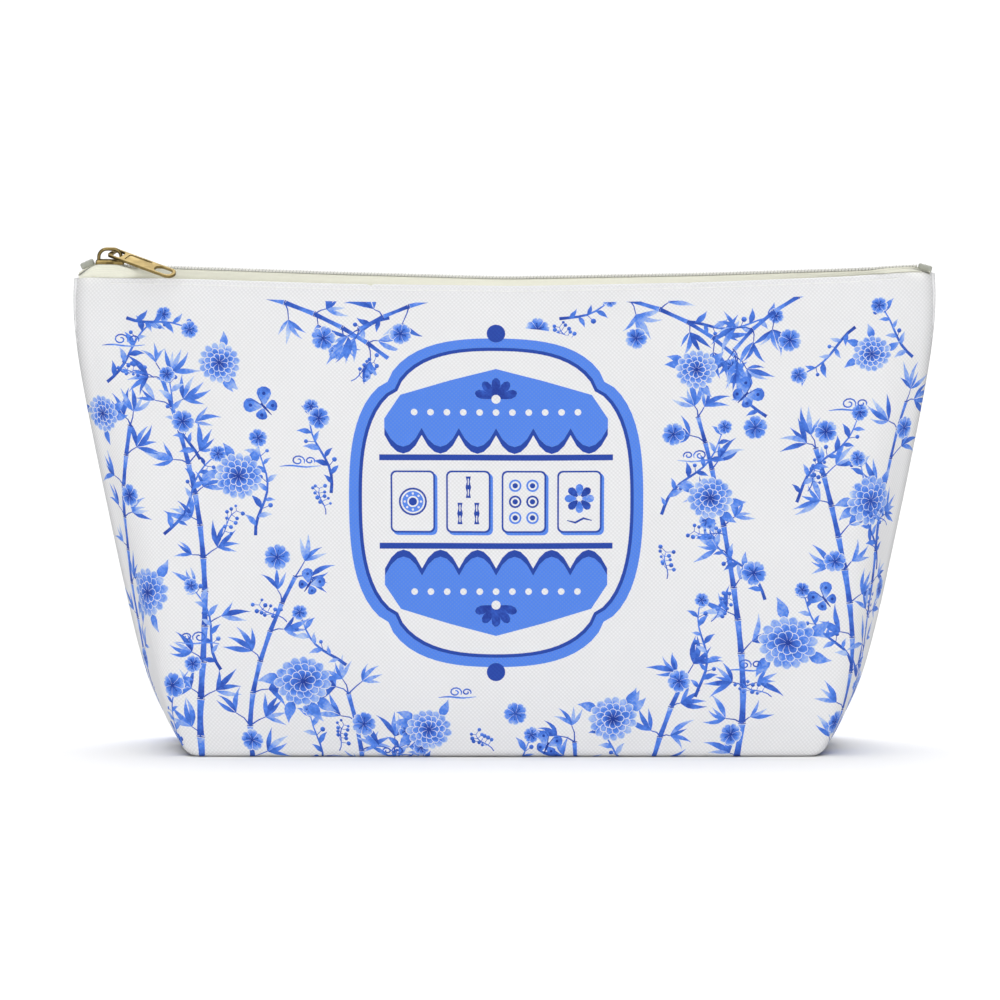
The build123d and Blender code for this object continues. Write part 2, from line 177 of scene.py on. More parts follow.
def front_cloth(u, v, inset=0.0):
    """Places on the front in space for flat places (u, v); negative v is under the base."""
    u, v = np.asarray(u, float), np.asarray(v, float)
    up = np.clip(v, 0, CLOTH_RIM)
    height = np.where(
        up < FOLD_LENGTH,
        FOLD_RADIUS * (1 - np.cos(up / FOLD_RADIUS)),
        FOLD_RADIUS + (up - FOLD_LENGTH) * (RIM - FOLD_RADIUS) / (CLOTH_RIM - FOLD_LENGTH),
    )
    step = 0.05
    x, y = section(u, height)
    near = np.clip(np.abs(u), step, CLOTH_HALF - step) * (np.sign(u) + (u == 0))
    x1, y1 = section(near - step, height)
    x2, y2 = section(near + step, height)
    run = np.hypot(x2 - x1, y2 - y1)
    out_x, out_y = (y2 - y1) / run, -(x2 - x1) / run
    tuck = FOLD_RADIUS - np.sqrt(np.maximum(FOLD_RADIUS**2 - np.maximum(FOLD_RADIUS - height, 0) ** 2, 0))
    seam = np.clip((np.abs(u) - CLOTH_HALF + 1.6) / 1.6, 0, 1) ** 2
    away = ripple(u, up) - tuck - inset - 0.9 * seam * (inset == 0)
    x = x + out_x * away
    y = np.minimum(y + out_y * away, -0.05)
    sag = (rim_line(x) - RIM) * (height / RIM) ** 3
    z = height + sag
    half_fold = np.minimum(0.7, np.maximum(0.12, (-y - 0.15) / 2))
    beyond = np.maximum(v - CLOTH_RIM, 0)
    turn = np.clip(beyond / RIM_ROLL, 0, 1) * math.pi
    down = np.maximum(beyond - RIM_ROLL, 0)
    y = y + half_fold * (1 - np.cos(turn)) * (v > CLOTH_RIM)
    z = z + half_fold * np.sin(turn) - down
    return np.stack([x, y, z], -1)


def back_cloth(u, v, inset=0.0):
    """The same for the back, whose print runs on the other way round."""
    spots = front_cloth(-np.asarray(u, float), v, inset)
    return spots * np.array([1.0, -1.0, 1.0])


def facing(surface, u, v, step=0.04):
    """The surface's outward direction at flat places."""
    across = surface(u + step, v) - surface(u - step, v)
    up = surface(u, v + step) - surface(u, v - step)
    found = np.cross(across, up)
    return found / np.maximum(np.linalg.norm(found, axis=-1, keepdims=True), 1e-12)


def to_object(name, points, faces, material, directions=None):
    """A mesh object in metres from points in millimetres."""
    mesh = bpy.data.meshes.new(name)
    mesh.from_pydata((np.asarray(points) * MM).tolist(), [], [list(map(int, f)) for f in faces])
    mesh.materials.append(material)
    mesh.polygons.foreach_set("use_smooth", [True] * len(mesh.polygons))
    if directions is not None:
        mesh.normals_split_custom_set_from_vertices(np.asarray(directions).tolist())
    mesh.update()
    piece = bpy.data.objects.new(name, mesh)
    bpy.context.scene.collection.objects.link(piece)
    return piece


def lay_out_cloth(piece, u, v):
    """The piece's own map of flat places, in metres."""
    mesh = piece.data
    corners = np.zeros(len(mesh.loops), int)
    mesh.loops.foreach_get("vertex_index", corners)
    flat = np.stack([np.asarray(u)[corners], np.asarray(v)[corners]], -1) * MM
    mesh.uv_layers.new(name="flat_cloth").data.foreach_set("uv", flat.ravel())


def cloth_grid(name, surface, us, vs, material, flip=False):
    """A sheet of quads over flat places, with smooth directions and its flat map."""
    u, v = (a.ravel() for a in np.meshgrid(us, vs, indexing="ij"))
    rows = len(vs)
    faces = []
    for i in range(len(us) - 1):
        for j in range(rows - 1):
            a = i * rows + j
            face = (a, a + rows, a + rows + 1, a + 1)
            faces.append(face[::-1] if flip else face)
    directions = facing(surface, u, v) * (-1 if flip else 1)
    piece = to_object(name, surface(u, v), faces, material, directions)
    lay_out_cloth(piece, u, v)
    return piece


# ---------------------------------------------------------------- finishes


class Graph:
    """A node tree with one way to add a node."""

    def __init__(self, tree):
        self.tree = tree

    def node(self, kind, settings=None, values=None):
        """Adds a node, then its settings, then the values or links of its sockets."""
        made = self.tree.nodes.new(kind)
        for name, setting in (settings or {}).items():
            if name == "stops":
                ramp = made.color_ramp
                while len(ramp.elements) < len(setting):
                    ramp.elements.new(1.0)
                for element, (place, colour) in zip(ramp.elements, setting):
                    element.position = place
                    element.color = (*colour, 1.0)
            else:
                setattr(made, name, setting)
        for name, value in (values or {}).items():
            self.feed(made.inputs[name], value)
        return made

    def feed(self, socket, value):
        if isinstance(value, Amount):
            value = value.socket
        if isinstance(value, bpy.types.NodeSocket):
            self.tree.links.new(value, socket)
        else:
            socket.default_value = value


class Amount:
    """A number that varies over a surface, used in plain sums."""

    def __init__(self, graph, socket):
        self.graph, self.socket = graph, socket

    def apply(self, operation, *others, swap=False):
        terms = [self, *others]
        if swap:
            terms.reverse()
        node = self.graph.node("ShaderNodeMath", {"operation": operation}, dict(enumerate(terms)))
        return Amount(self.graph, node.outputs[0])

    def __add__(self, other):
        return self.apply("ADD", other)

    def __sub__(self, other):
        return self.apply("SUBTRACT", other)

    def __rsub__(self, other):
        return self.apply("SUBTRACT", other, swap=True)

    def __mul__(self, other):
        return self.apply("MULTIPLY", other)

    __radd__ = __add__
    __rmul__ = __mul__

    def sine(self):
        return self.apply("SINE")

    def above(self, limit):
        return self.apply("GREATER_THAN", limit)

    def least(self, limit):
        return self.apply("MAXIMUM", limit)

    def most(self, limit):
        return self.apply("MINIMUM", limit)

    def size(self):
        return self.apply("ABSOLUTE")

    def clamped(self):
        return self.least(0.0).most(1.0)


class Finish(Graph):
    """A material on the standard surface shader."""

    def __init__(self, name, **uniform):
        self.material = bpy.data.materials.new(name)
        self.material.use_nodes = True
        super().__init__(self.material.node_tree)
        self.surface = self.tree.nodes["Principled BSDF"]
        for socket, value in uniform.items():
            self.surface.inputs[socket.replace("_", " ")].default_value = value

    def set(self, socket, value):
        self.feed(self.surface.inputs[socket], value)

    def place(self):
        return self.node("ShaderNodeTexCoord").outputs["Object"]

    def flat(self, pitch):
        """The map of the flat cloth, then across and up on it, counted in threads of this pitch."""
        spread = self.node("ShaderNodeUVMap", {"uv_map": "flat_cloth"}).outputs[0]
        parts = self.node("ShaderNodeSeparateXYZ", None, {0: spread})
        across, up = (Amount(self, parts.outputs[k]) * (1000 / pitch) for k in (0, 1))
        return spread, across, up

    def attribute(self, name):
        node = self.node("ShaderNodeAttribute", {"attribute_name": name})
        return Amount(self, node.outputs["Fac"])

    def noise(self, vector, scale, detail=2.0, roughness=0.5):
        values = {"Vector": vector, "Scale": scale, "Detail": detail, "Roughness": roughness}
        return Amount(self, self.node("ShaderNodeTexNoise", None, values).outputs["Fac"])

    def ramp(self, amount, stops):
        return self.node("ShaderNodeValToRGB", {"stops": stops}, {"Fac": amount}).outputs["Color"]

    def mix(self, amount, one, other, blend="MIX"):
        node = self.node("ShaderNodeMix", {"data_type": "RGBA", "blend_type": blend})
        self.feed(node.inputs[0], amount)
        for socket, value in ((node.inputs[6], one), (node.inputs[7], other)):
            self.feed(socket, value if not isinstance(value, tuple) else (*value, 1.0))
        return node.outputs[2]

    def shaded(self, colour, shade):
        """The surface's colour, made darker or lighter by a grey shade."""
        grey = self.node("ShaderNodeCombineColor", None, {0: shade, 1: shade, 2: shade}).outputs[0]
        self.set("Base Color", self.mix(1.0, colour, grey, "MULTIPLY"))

    def bump(self, height, distance, strength=1.0):
        values = {"Height": height, "Distance": distance * MM, "Strength": strength}
        self.set("Normal", self.node("ShaderNodeBump", None, values).outputs["Normal"])


def weave(across, up):
    """Over-and-under of plain woven threads, from -1 in the pits to 1 on the crowns."""
    return (across * math.pi).sine() * (up * math.pi).sine()


CANVAS_PITCH = 0.75
# Widths and strengths of the shade painted into the canvas's colour at the side seams and at the base fold
SEAM_SHADE_WIDTH, SEAM_SHADE = 7.0, 0.40
FOLD_SHADE_HEIGHT, FOLD_SHADE = 5.0, 0.5
FABRIC_WHITE = (0.86, 0.86, 0.872)
INK = [
    (0.00, FABRIC_WHITE),
    (0.22, (0.48, 0.62, 0.92)),
    (0.50, (0.095, 0.255, 0.86)),
    (0.78, (0.040, 0.115, 0.56)),
    (1.00, (0.022, 0.054, 0.34)),
]


def printed_cloth():
    """White polyester canvas with the print's inks sunk into its threads.

    Shade is painted into its colour: darker towards the side seams and where it turns under the base, lighter
    on the thread crowns and darker in the pits.
    """
    finish = Finish("printed_canvas", Sheen_Weight=0.04, Sheen_Roughness=0.5, Specular_IOR_Level=0.15)
    spread, across, up = finish.flat(CANVAS_PITCH)
    threads = weave(across, up)
    # Painted highlight on the thread crowns and painted shade in the pits between them.
    crowns = ((threads - 0.15) * 1.6).clamped()
    pits = ((-0.1 - threads) * 1.5).clamped()
    wash = finish.attribute("wash")
    tone = finish.attribute("tone")
    pools = finish.noise(spread, 210.0, 3.0, 0.6) - 0.5
    grain = finish.noise(spread, 900.0, 2.0, 0.5) - 0.5
    inked = tone.above(0.02)
    spread_tone = tone + inked * wash * (pools * 0.75 + grain * 0.25) + inked * threads * 0.05
    colour = finish.ramp(spread_tone.clamped(), INK)
    cloudy = finish.noise(finish.place(), 22.0, 3.0, 0.5)
    # Painted shade: the colour darkens towards the side seams, where the cloth turns away from the light.
    to_seam = across.size() * (CANVAS_PITCH / SEAM_SHADE_WIDTH)
    seam_painted_shade = (to_seam - (CLOTH_HALF - SEAM_SHADE_WIDTH) / SEAM_SHADE_WIDTH).clamped()
    # Painted shade along the base fold, darkest at the foot of the wall where it turns under.
    fold_painted_shade = (1 - up * (CANVAS_PITCH / FOLD_SHADE_HEIGHT)).clamped() * (up + 0.5).above(0.0)
    shade = 0.94 + crowns * 0.09 - pits * 0.05 + cloudy * 0.04
    shade = shade - seam_painted_shade * seam_painted_shade * SEAM_SHADE - fold_painted_shade * fold_painted_shade * FOLD_SHADE
    finish.shaded(colour, shade)
    finish.set("Roughness", 0.88 - threads * 0.05)
    finish.bump(threads + grain * 0.4, 0.07, 0.5)
    return finish.material


def plain_cloth(name, colour, pitch, relief=0.1):
    """An unprinted woven cloth."""
    finish = Finish(name, Sheen_Weight=0.1, Specular_IOR_Level=0.25)
    spread, across, up = finish.flat(pitch)
    threads = weave(across, up)
    slubs = finish.noise(spread, 350.0, 3.0, 0.55)
    # The weave's crowns lighter and its pits darker is painted shade; the slubs are the cloth's own tone.
    shade = 0.90 + threads * 0.05 + slubs * 0.12
    finish.shaded(colour, shade)
    finish.set("Roughness", 0.84 + slubs * 0.1)
    finish.bump(threads + slubs * 0.5, relief, 0.6)
    return finish.material


def raw_edge_cloth():
    """Cut edges of the canvas inside the bag, a little frayed."""
    finish = Finish("seam_allowance", Sheen_Weight=0.1, Specular_IOR_Level=0.2)
    place = finish.place()
    threads = finish.noise(place, 1400.0, 2.0, 0.6)
    finish.set("Base Color", finish.mix(threads, (0.62, 0.62, 0.62), (0.86, 0.86, 0.86)))
    finish.set("Roughness", 0.8 + threads * 0.15)
    finish.bump(threads, 0.2, 0.6)
    return finish.material


TAPE_IVORY = (0.86, 0.855, 0.72)


def tape_cloth():
    """Ivory zip tape with fine ribs along it."""
    finish = Finish("zip_tape", Sheen_Weight=0.15, Specular_IOR_Level=0.3)
    spread, across, up = finish.flat(0.5)
    ribs = (up * math.pi * 2).sine()
    picks = (across * math.pi * 2 + up * math.pi).sine()
    slubs = finish.noise(spread, 500.0, 2.0, 0.5)
    # The ribs and picks lighter and darker is painted shade of the woven relief; the slubs are the tape's own
    # tone.
    shade = 0.92 + ribs * 0.03 + picks * 0.03 + slubs * 0.07
    finish.shaded(TAPE_IVORY, shade)
    finish.set("Roughness", 0.78 + slubs * 0.12)
    finish.bump(ribs * 0.5 + picks * 0.5, 0.08, 0.7)
    return finish.material


def spun_thread():
    """Two-ply sewing thread with its twist."""
    finish = Finish("thread", Sheen_Weight=0.2, Specular_IOR_Level=0.4)
    place = finish.place()
    parts = finish.node("ShaderNodeSeparateXYZ", None, {0: place})
    x, z = Amount(finish, parts.outputs[0]), Amount(finish, parts.outputs[2])
    # The stripes of the twist: the darker grooves between the plies are painted shade.
    twist = ((x * 2.0 + z) * 6200.0).sine() * 0.5 + 0.5
    finish.set("Base Color", finish.mix(twist, (0.80, 0.80, 0.79), (0.97, 0.97, 0.96)))
    finish.set("Roughness", 0.5 + twist * 0.15)
    finish.bump(twist, 0.05, 0.6)
    return finish.material


def coil_nylon():
    """Pale nylon filament, with shade painted in darker near the middle line where the turns lie deep."""
    finish = Finish("coil_nylon", Specular_IOR_Level=0.5, Coat_Weight=0.1)
    place = finish.place()
    drawn = finish.noise(place, 700.0, 2.0, 0.5)
    outer = ((finish.attribute("reach") - 0.35) * 1.7).clamped()
    near = finish.mix(drawn, (0.80, 0.80, 0.74), (0.92, 0.91, 0.84))
    # The darker colour is painted shade between the interlocked turns.
    finish.set("Base Color", finish.mix(outer, (0.70, 0.70, 0.66), near))
    finish.set("Roughness", 0.3 + drawn * 0.12)
    finish.bump(drawn, 0.04, 0.5)
    return finish.material


def stop_plastic():
    """Grey moulded ends of the zip, scuffed at random."""
    finish = Finish("stop_plastic", Specular_IOR_Level=0.45)
    place = finish.place()
    scuffs = finish.noise(place, 900.0, 4.0, 0.65)
    finish.set("Base Color", finish.mix(scuffs, (0.33, 0.34, 0.29), (0.46, 0.47, 0.42)))
    finish.set("Roughness", 0.42 + scuffs * 0.25)
    finish.bump(scuffs, 0.06, 0.5)
    return finish.material


GOLD = [
    (0.25, (0.14, 0.10, 0.033)),
    (0.55, (0.232, 0.17, 0.064)),
    (0.80, (0.36, 0.282, 0.127)),
]


def gold_plate():
    """Antique gold plating over a tumbled casting, rubbed brighter in places."""
    finish = Finish("gold_metal", Metallic=1.0)
    place = finish.place()
    rubbed = finish.noise(place, 260.0, 3.0, 0.6)
    tumbled = finish.noise(place, 1500.0, 2.0, 0.5)
    finish.set("Base Color", finish.ramp(rubbed, GOLD))
    finish.set("Roughness", 0.28 + rubbed * 0.14 + tumbled * 0.05)
    finish.bump(tumbled + rubbed * 0.6, 0.03, 0.35)
    return finish.material


def floor_finish():
    """A plain pale sweep."""
    finish = Finish("pale_floor", Specular_IOR_Level=0.0)
    tooth = finish.noise(finish.place(), 60.0, 2.0, 0.5)
    finish.set("Base Color", finish.mix(tooth, (0.96, 0.96, 0.96), (0.97, 0.97, 0.97)))
    finish.set("Roughness", 0.9 + tooth * 0.05)
    return finish.material


# ---------------------------------------------------------------- the print


def away_from(x, y, reach, angle):
    """The place at a distance and an angle from (x, y)."""
    return x + reach * math.cos(angle), y + reach * math.sin(angle)


def ring_of(x, y, radius, sides):
    """The corners of a regular outline."""
    return [away_from(x, y, radius, 2 * math.pi * i / sides) for i in range(sides)]


LEAF_WIDTHS = [math.sin(math.pi * t**0.75) for t in (0.0, 0.1, 0.3, 0.5, 0.7, 0.88, 1.0)]
PETAL_SHAPE = [(0.35, 0.36), (0.62, 0.50), (0.86, 0.42), (1.0, 0.14)]
PALE, PALEST = 0.10, 0.06


class Print:
    """Outlines on the flat cloth, in millimetres; later ones lie on top."""

    def __init__(self):
        self.shapes = []

    def add(self, outline, tone, far_tone=None, start=None, end=None, wash=1.0):
        """A filled outline whose tone runs from start to end."""
        start = start or outline[0]
        end = end or outline[len(outline) // 2]
        self.shapes.append((outline, tone, tone if far_tone is None else far_tone, start, end, wash))

    def leaf(self, x, y, angle, length, width, tone=0.7, far_tone=0.35, bend=0.15):
        """A slim pointed leaf from its stalk at (x, y)."""
        spine = []
        for i in range(7):
            t = i / 6
            spine.append(away_from(x, y, t * length, angle + bend * (t - 0.5) * 2))
        self.ribbon(spine, [width * share for share in LEAF_WIDTHS], tone, far_tone)

    def ribbon(self, points, widths, tone, far_tone=None, wash=1.0):
        """A stroke along points with a width at each."""
        left, right = [], []
        for i, (x, y) in enumerate(points):
            bx, by = points[max(i - 1, 0)]
            fx, fy = points[min(i + 1, len(points) - 1)]
            size = math.hypot(fx - bx, fy - by) or 1.0
            nx, ny = -(fy - by) / size, (fx - bx) / size
            half = widths[i] / 2
            if half < 0.01:
                left.append((x, y))
            else:
                left.append((x + nx * half, y + ny * half))
                right.append((x - nx * half, y - ny * half))
        self.add(left + right[::-1], tone, far_tone, points[0], points[-1], wash)

    def disc(self, x, y, radius, tone, far_tone=None, sides=10, wash=1.0):
        self.add(ring_of(x, y, radius, sides), tone, far_tone, (x, y - radius), (x, y + radius), wash)

    def petal(self, x, y, angle, near, far, width, tone, far_tone, notch=0.0):
        """A petal between two distances from a flower's middle."""
        side = [(near, 0.10 * width)]
        side += [(near + (far - near) * along, half * width) for along, half in PETAL_SHAPE]
        middle = [(far - notch, 0.0)] if notch else []
        outline = side + middle + [(reach, -half) for reach, half in side[::-1]]
        c, s = math.cos(angle), math.sin(angle)
        turned = [(x + a * c - b * s, y + a * s + b * c) for a, b in outline]
        self.add(turned, tone, far_tone, (x + near * c, y + near * s), (x + far * c, y + far * s))

    def daisy(self, x, y, radius, turn=0.0, squash=1.0):
        """A many-petalled chrysanthemum head with three rings."""
        for petals, near, far, width, tone, far_tone in (
            (15, 0.30, 1.00, 0.33, 0.66, 0.28),
            (12, 0.16, 0.72, 0.29, 0.82, 0.40),
            (8, 0.05, 0.44, 0.26, 0.95, 0.55),
        ):
            for i in range(petals):
                angle = turn + (i + 0.5 * (petals % 2)) * 2 * math.pi / petals
                reach = radius * (1 - (1 - squash) * abs(math.sin(angle)))
                self.petal(x, y, angle, near * reach, far * reach + 0.25, width * radius + 0.5, PALE, PALEST)
                self.petal(x, y, angle, near * reach, far * reach, width * radius, tone, far_tone)
        self.disc(x, y, radius * 0.09, 0.98)

    def blossom(self, x, y, radius, turn=0.0):
        """Five round petals with fine stamens."""
        for i in range(5):
            angle = turn + i * 2 * math.pi / 5
            self.petal(x, y, angle, radius * 0.12, radius + 0.2, radius * 1.06, PALE, PALEST, radius * 0.1)
            self.petal(x, y, angle, radius * 0.12, radius, radius * 0.92, 0.80, 0.30, radius * 0.14)
        for i in range(5):
            tip = away_from(x, y, radius * 0.52, turn + i * 2 * math.pi / 5 + 0.12)
            self.ribbon([(x, y), tip], [0.3, 0.22], 0.95)
            self.disc(*tip, 0.28, 0.95, sides=6)
        self.disc(x, y, radius * 0.14, 0.95, sides=8)

    def sprig(self, x, y, angle, length, dice):
        """A thin curved stalk with round buds."""
        points, places = [], 7
        for i in range(places):
            t = i / (places - 1)
            points.append(away_from(x, y, t * length, angle + 0.5 * math.sin(t * 2.2)))
        self.ribbon(points, [0.42] * (places - 1) + [0.2], 0.75, 0.55)
        for place in points[2:]:
            for side in (-1, 1):
                turn = angle + side * (0.9 + 0.3 * dice.random())
                bud = away_from(*place, 1.6 + dice.random() * 1.4, turn)
                self.ribbon([place, bud], [0.25, 0.2], 0.65)
                self.disc(*bud, 0.55 + 0.35 * dice.random(), 0.85, 0.45, 7)

    def cane(self, x, y, angle, joints, step, width, curve, dice, bare=0):
        """A jointed bamboo cane with leaf clusters at its nodes."""
        for k in range(joints):
            turn = angle + curve * k
            nx, ny = away_from(x, y, step, turn)
            w = width * (1 - 0.035 * k)
            places = [(x + (nx - x) * t, y + (ny - y) * t) for t in (0.03, 0.12, 0.5, 0.88, 0.97)]
            self.ribbon(places, [w * 1.35, w * 1.2, w * 1.05, w * 1.2, w * 1.35], 0.84, 0.46)
            knot = [away_from(nx, ny, d * w, turn + math.pi / 2) for d in (-0.75, 0, 0.75)]
            self.ribbon(knot, [0.25, 0.6, 0.25], 0.95)
            if k >= bare:
                side = 1 if k % 2 else -1
                self.cluster(nx, ny, turn + side * (0.7 + 0.5 * dice.random()), dice)
                if dice.random() < 0.35:
                    self.cluster(nx, ny, turn - side * (0.8 + 0.5 * dice.random()), dice)
            x, y = nx, ny
            step *= 0.97
        self.cluster(x, y, angle + curve * joints, dice)

    def cluster(self, x, y, angle, dice):
        """A twig with a fan of long leaves."""
        tip = away_from(x, y, 3.5 + 3.5 * dice.random(), angle)
        bent = ((x + tip[0]) / 2 + 0.4, (y + tip[1]) / 2 + 0.5)
        self.ribbon([(x, y), bent, tip], [0.55, 0.45, 0.35], 0.8)
        for i in range(3 + dice.randrange(3)):
            turn = angle + (i - 1.6) * 0.47 + dice.uniform(-0.12, 0.12)
            length = dice.uniform(6.5, 11.5)
            tone = dice.uniform(0.45, 0.85)
            self.leaf(*tip, turn, length, length * 0.19, tone, tone - 0.25, dice.uniform(-0.25, 0.25))

    def vine(self, x, y, angle, length, sway, dice):
        """A winding stem with small leaves on both sides, berries and a last bloom."""
        step = 3.4
        places = int(length / step)
        phase = dice.uniform(0, 6.28)
        points, turns = [(x, y)], [angle]
        for k in range(places):
            angle += sway * math.cos(k * 0.62 + phase)
            x, y = away_from(x, y, step, angle)
            points.append((x, y))
            turns.append(angle)
        widths = [1.25 - 0.85 * k / places for k in range(places)] + [0.3]
        self.ribbon(points, widths, 0.86, 0.45)
        for k in range(1, places):
            side = 1 if k % 2 else -1
            size = dice.uniform(3.8, 6.6)
            tone = dice.uniform(0.42, 0.82)
            turn = turns[k] + side * dice.uniform(0.55, 0.95)
            self.leaf(*points[k], turn, size, size * 0.36, tone, tone - 0.22, side * 0.2)
            if k % 3 == 0:
                turn = turns[k] - side * dice.uniform(0.7, 1.2)
                berry = away_from(*points[k], dice.uniform(2.4, 3.8), turn)
                self.ribbon([points[k], berry], [0.3, 0.25], 0.7)
                self.disc(*berry, dice.uniform(0.7, 1.05), 0.85, 0.45, 8)
        self.blossom(x, y, dice.uniform(2.6, 3.4), dice.uniform(0, 1.2))

    def butterfly(self, x, y, size, turn):
        """Two pairs of spotted wings, feelers and a slim body."""
        wings = ((0.75, 1.0, 0.72, 0.35, 0.62), (2.15, 0.66, 0.58, 0.40, 0.75))
        for side in (-1, 1):
            for angle, far, width, tone, far_tone in wings:
                self.petal(x, y, turn + side * angle, size * 0.10, size * far, size * width, tone, far_tone)
                spot = away_from(x, y, size * far * 0.66, turn + side * angle)
                self.disc(*spot, size * 0.09, 0.95, sides=7)
            bend = turn + side * 0.28
            knee, tip = away_from(x, y, size * 0.6, bend), away_from(x, y, size * 0.85, bend + side * 0.25)
            self.ribbon([(x, y), knee, tip], [0.3, 0.22, 0.18], 0.9)
        body = [away_from(x, y, size * 0.22, turn), (x, y), away_from(x, y, size * 0.55, turn + math.pi)]
        self.ribbon(body, [0.4, 0.95, 0.3], 0.97)

    def cloud(self, x, y, size, side=1):
        """Two curls on a long tail, drawn with one line."""
        for cx, radius, turns in ((0.0, 1.0, 1.35), (1.7, 0.72, 1.2)):
            spiral = []
            for i in range(15):
                t = i / 14
                angle = -0.5 + 2 * math.pi * turns * t
                r = size * radius * (1 - 0.72 * t)
                spiral.append((x + side * (cx * size + r * math.cos(angle)), y + r * math.sin(angle) * 0.8))
            self.ribbon(spiral, [0.3] + [0.55] * 12 + [0.5, 0.3], 0.55, 0.75)
        places = (-2.6, -1.7, -0.8, 0.2, 1.2, 2.1, 3.2)
        tail = [(x + side * size * t, y - size * (0.80 + 0.10 * math.sin(t * 1.4))) for t in places]
        self.ribbon(tail, [0.2, 0.5, 0.65, 0.65, 0.6, 0.45, 0.2], 0.6, 0.4)


MID_BLUE, DARK_BLUE = 0.50, 0.93
SQUARENESS = 3.2


def lobed_outline(x, y, half_wide, half_high, lift, places=96):
    """A plaque's outline with four lobes and points between them."""
    ring = []
    for i in range(places):
        a = 2 * math.pi * i / places
        wave = 1 + lift * abs(math.cos(2 * a)) ** 0.7 - lift * 0.55
        square = (abs(math.cos(a)) ** SQUARENESS + abs(math.sin(a)) ** SQUARENESS) ** (-1 / SQUARENESS)
        wide, high = half_wide * wave * square, half_high * wave * square
        ring.append((x + wide * math.cos(a), y + high * math.sin(a)))
    return ring


def scallops(x, y, half, depth, count, up):
    """A band whose one edge is a row of shallow arcs."""
    edge = []
    for i in range(count * 6 + 1):
        t = i / (count * 6)
        edge.append((x - half + 2 * half * t, y + up * depth * abs(math.sin(math.pi * count * t)) ** 0.8))
    return edge


def plaque(art, x, y):
    """The plaque in the middle: blue frame, scalloped bands, four plain game tiles."""
    art.add(lobed_outline(x, y, 56, 63, 0.10), 0.0, wash=0.0)
    art.add(lobed_outline(x, y, 52, 59, 0.10), MID_BLUE, wash=0.0)
    art.add(lobed_outline(x, y, 48.6, 55.6, 0.10), DARK_BLUE, wash=0.0)
    art.add(lobed_outline(x, y, 47.4, 54.4, 0.10), 0.0, wash=0.0)
    for up in (-1, 1):
        crest = scallops(x, y + up * 27.5, 41, -7.0, 6, up)
        cap = [(x + 41, y + up * 31), (x + 35, y + up * 40), (x + 17, y + up * 45.5), (x, y + up * 50)]
        cap += [(x - 17, y + up * 45.5), (x - 35, y + up * 40), (x - 41, y + up * 31)]
        art.add(crest + cap, MID_BLUE, wash=0.0)
        shadow = [(px, py - up * 2.6) for px, py in crest]
        art.add(crest + shadow[::-1], DARK_BLUE, wash=0.0)
        bar = [(-43, 17.6), (43, 17.6), (43, 15.4), (-43, 15.4)]
        art.add([(x + px, y + up * py) for px, py in bar], DARK_BLUE, wash=0.0)
        for i in range(11):
            art.disc(x - 30 + i * 6, y + up * 33.5, 1.25, 0.0, sides=12, wash=0.0)
        for i in range(5):
            turn = math.pi / 2 * up + (i - 2) * 0.62
            art.petal(x, y + up * 38.5, turn, 1.2, 8.0, 3.3, DARK_BLUE, DARK_BLUE)
        art.disc(x, y + up * 38.5, 1.7, 0.0, sides=14, wash=0.0)
        art.disc(x, y + up * 63.5, 3.4, DARK_BLUE, sides=20, wash=0.0)
    for i in range(4):
        tile(art, x + (i - 1.5) * 20.5, y, i)


def tile(art, x, y, kind):
    """One upright game tile in outline, with a common mark: dots, canes or a flower."""

    def rounded(half_wide, half_high, round_by):
        ring = []
        for cx, cy, first in ((1, 1, 0), (-1, 1, 1), (-1, -1, 2), (1, -1, 3)):
            for k in range(5):
                middle = (x + cx * (half_wide - round_by), y + cy * (half_high - round_by))
                ring.append(away_from(*middle, round_by, (first + k / 4) * math.pi / 2))
        return ring

    art.add([(px + 0.9, py - 0.9) for px, py in rounded(8.2, 11.6, 2.0)], MID_BLUE, wash=0.0)
    art.add(rounded(8.2, 11.6, 2.0), DARK_BLUE, wash=0.0)
    art.add(rounded(7.55, 10.95, 1.6), 0.0, wash=0.0)
    if kind == 0:
        for radius, tone in ((5.2, DARK_BLUE), (4.5, 0.0), (3.9, MID_BLUE), (2.1, 0.0), (1.5, DARK_BLUE)):
            art.disc(x, y, radius, tone, sides=24, wash=0.0)
        for k in range(8):
            art.disc(*away_from(x, y, 3.0, k * math.pi / 4), 0.45, 0.0, sides=7, wash=0.0)
    if kind == 1:
        for dx, dy in ((0, 5.4), (-3.1, -4.4), (3.1, -4.4)):
            cane = [(x + dx, y + dy + up) for up in (-4, -2, 0, 2, 4)]
            art.ribbon(cane, [1.9, 1.1, 2.1, 1.1, 1.9], DARK_BLUE, wash=0.0)
            for low, high in ((-3.2, -0.8), (0.8, 3.2)):
                art.ribbon([(x + dx, y + dy + low), (x + dx, y + dy + high)], [0.4, 0.4], 0.0, wash=0.0)
    if kind == 2:
        for dx in (-3.2, 3.2):
            for dy in (-6.0, 0.0, 6.0):
                for radius, tone in ((2.35, MID_BLUE if dy else DARK_BLUE), (1.65, 0.0), (1.0, DARK_BLUE)):
                    art.disc(x + dx, y + dy, radius, tone, sides=16, wash=0.0)
    if kind == 3:
        for k in range(8):
            tone = DARK_BLUE if k % 2 else MID_BLUE
            art.petal(x, y + 1.2, k * math.pi / 4, 0.9, 5.4, 2.9, tone, tone)
        art.disc(x, y + 1.2, 1.1, 0.0, sides=12, wash=0.0)
        ground = [(x - 4.6, y - 7.0), (x - 1.5, y - 7.8), (x + 1.5, y - 6.2), (x + 4.6, y - 7.0)]
        art.ribbon(ground, [0.3, 0.8, 0.8, 0.3], DARK_BLUE, wash=0.0)


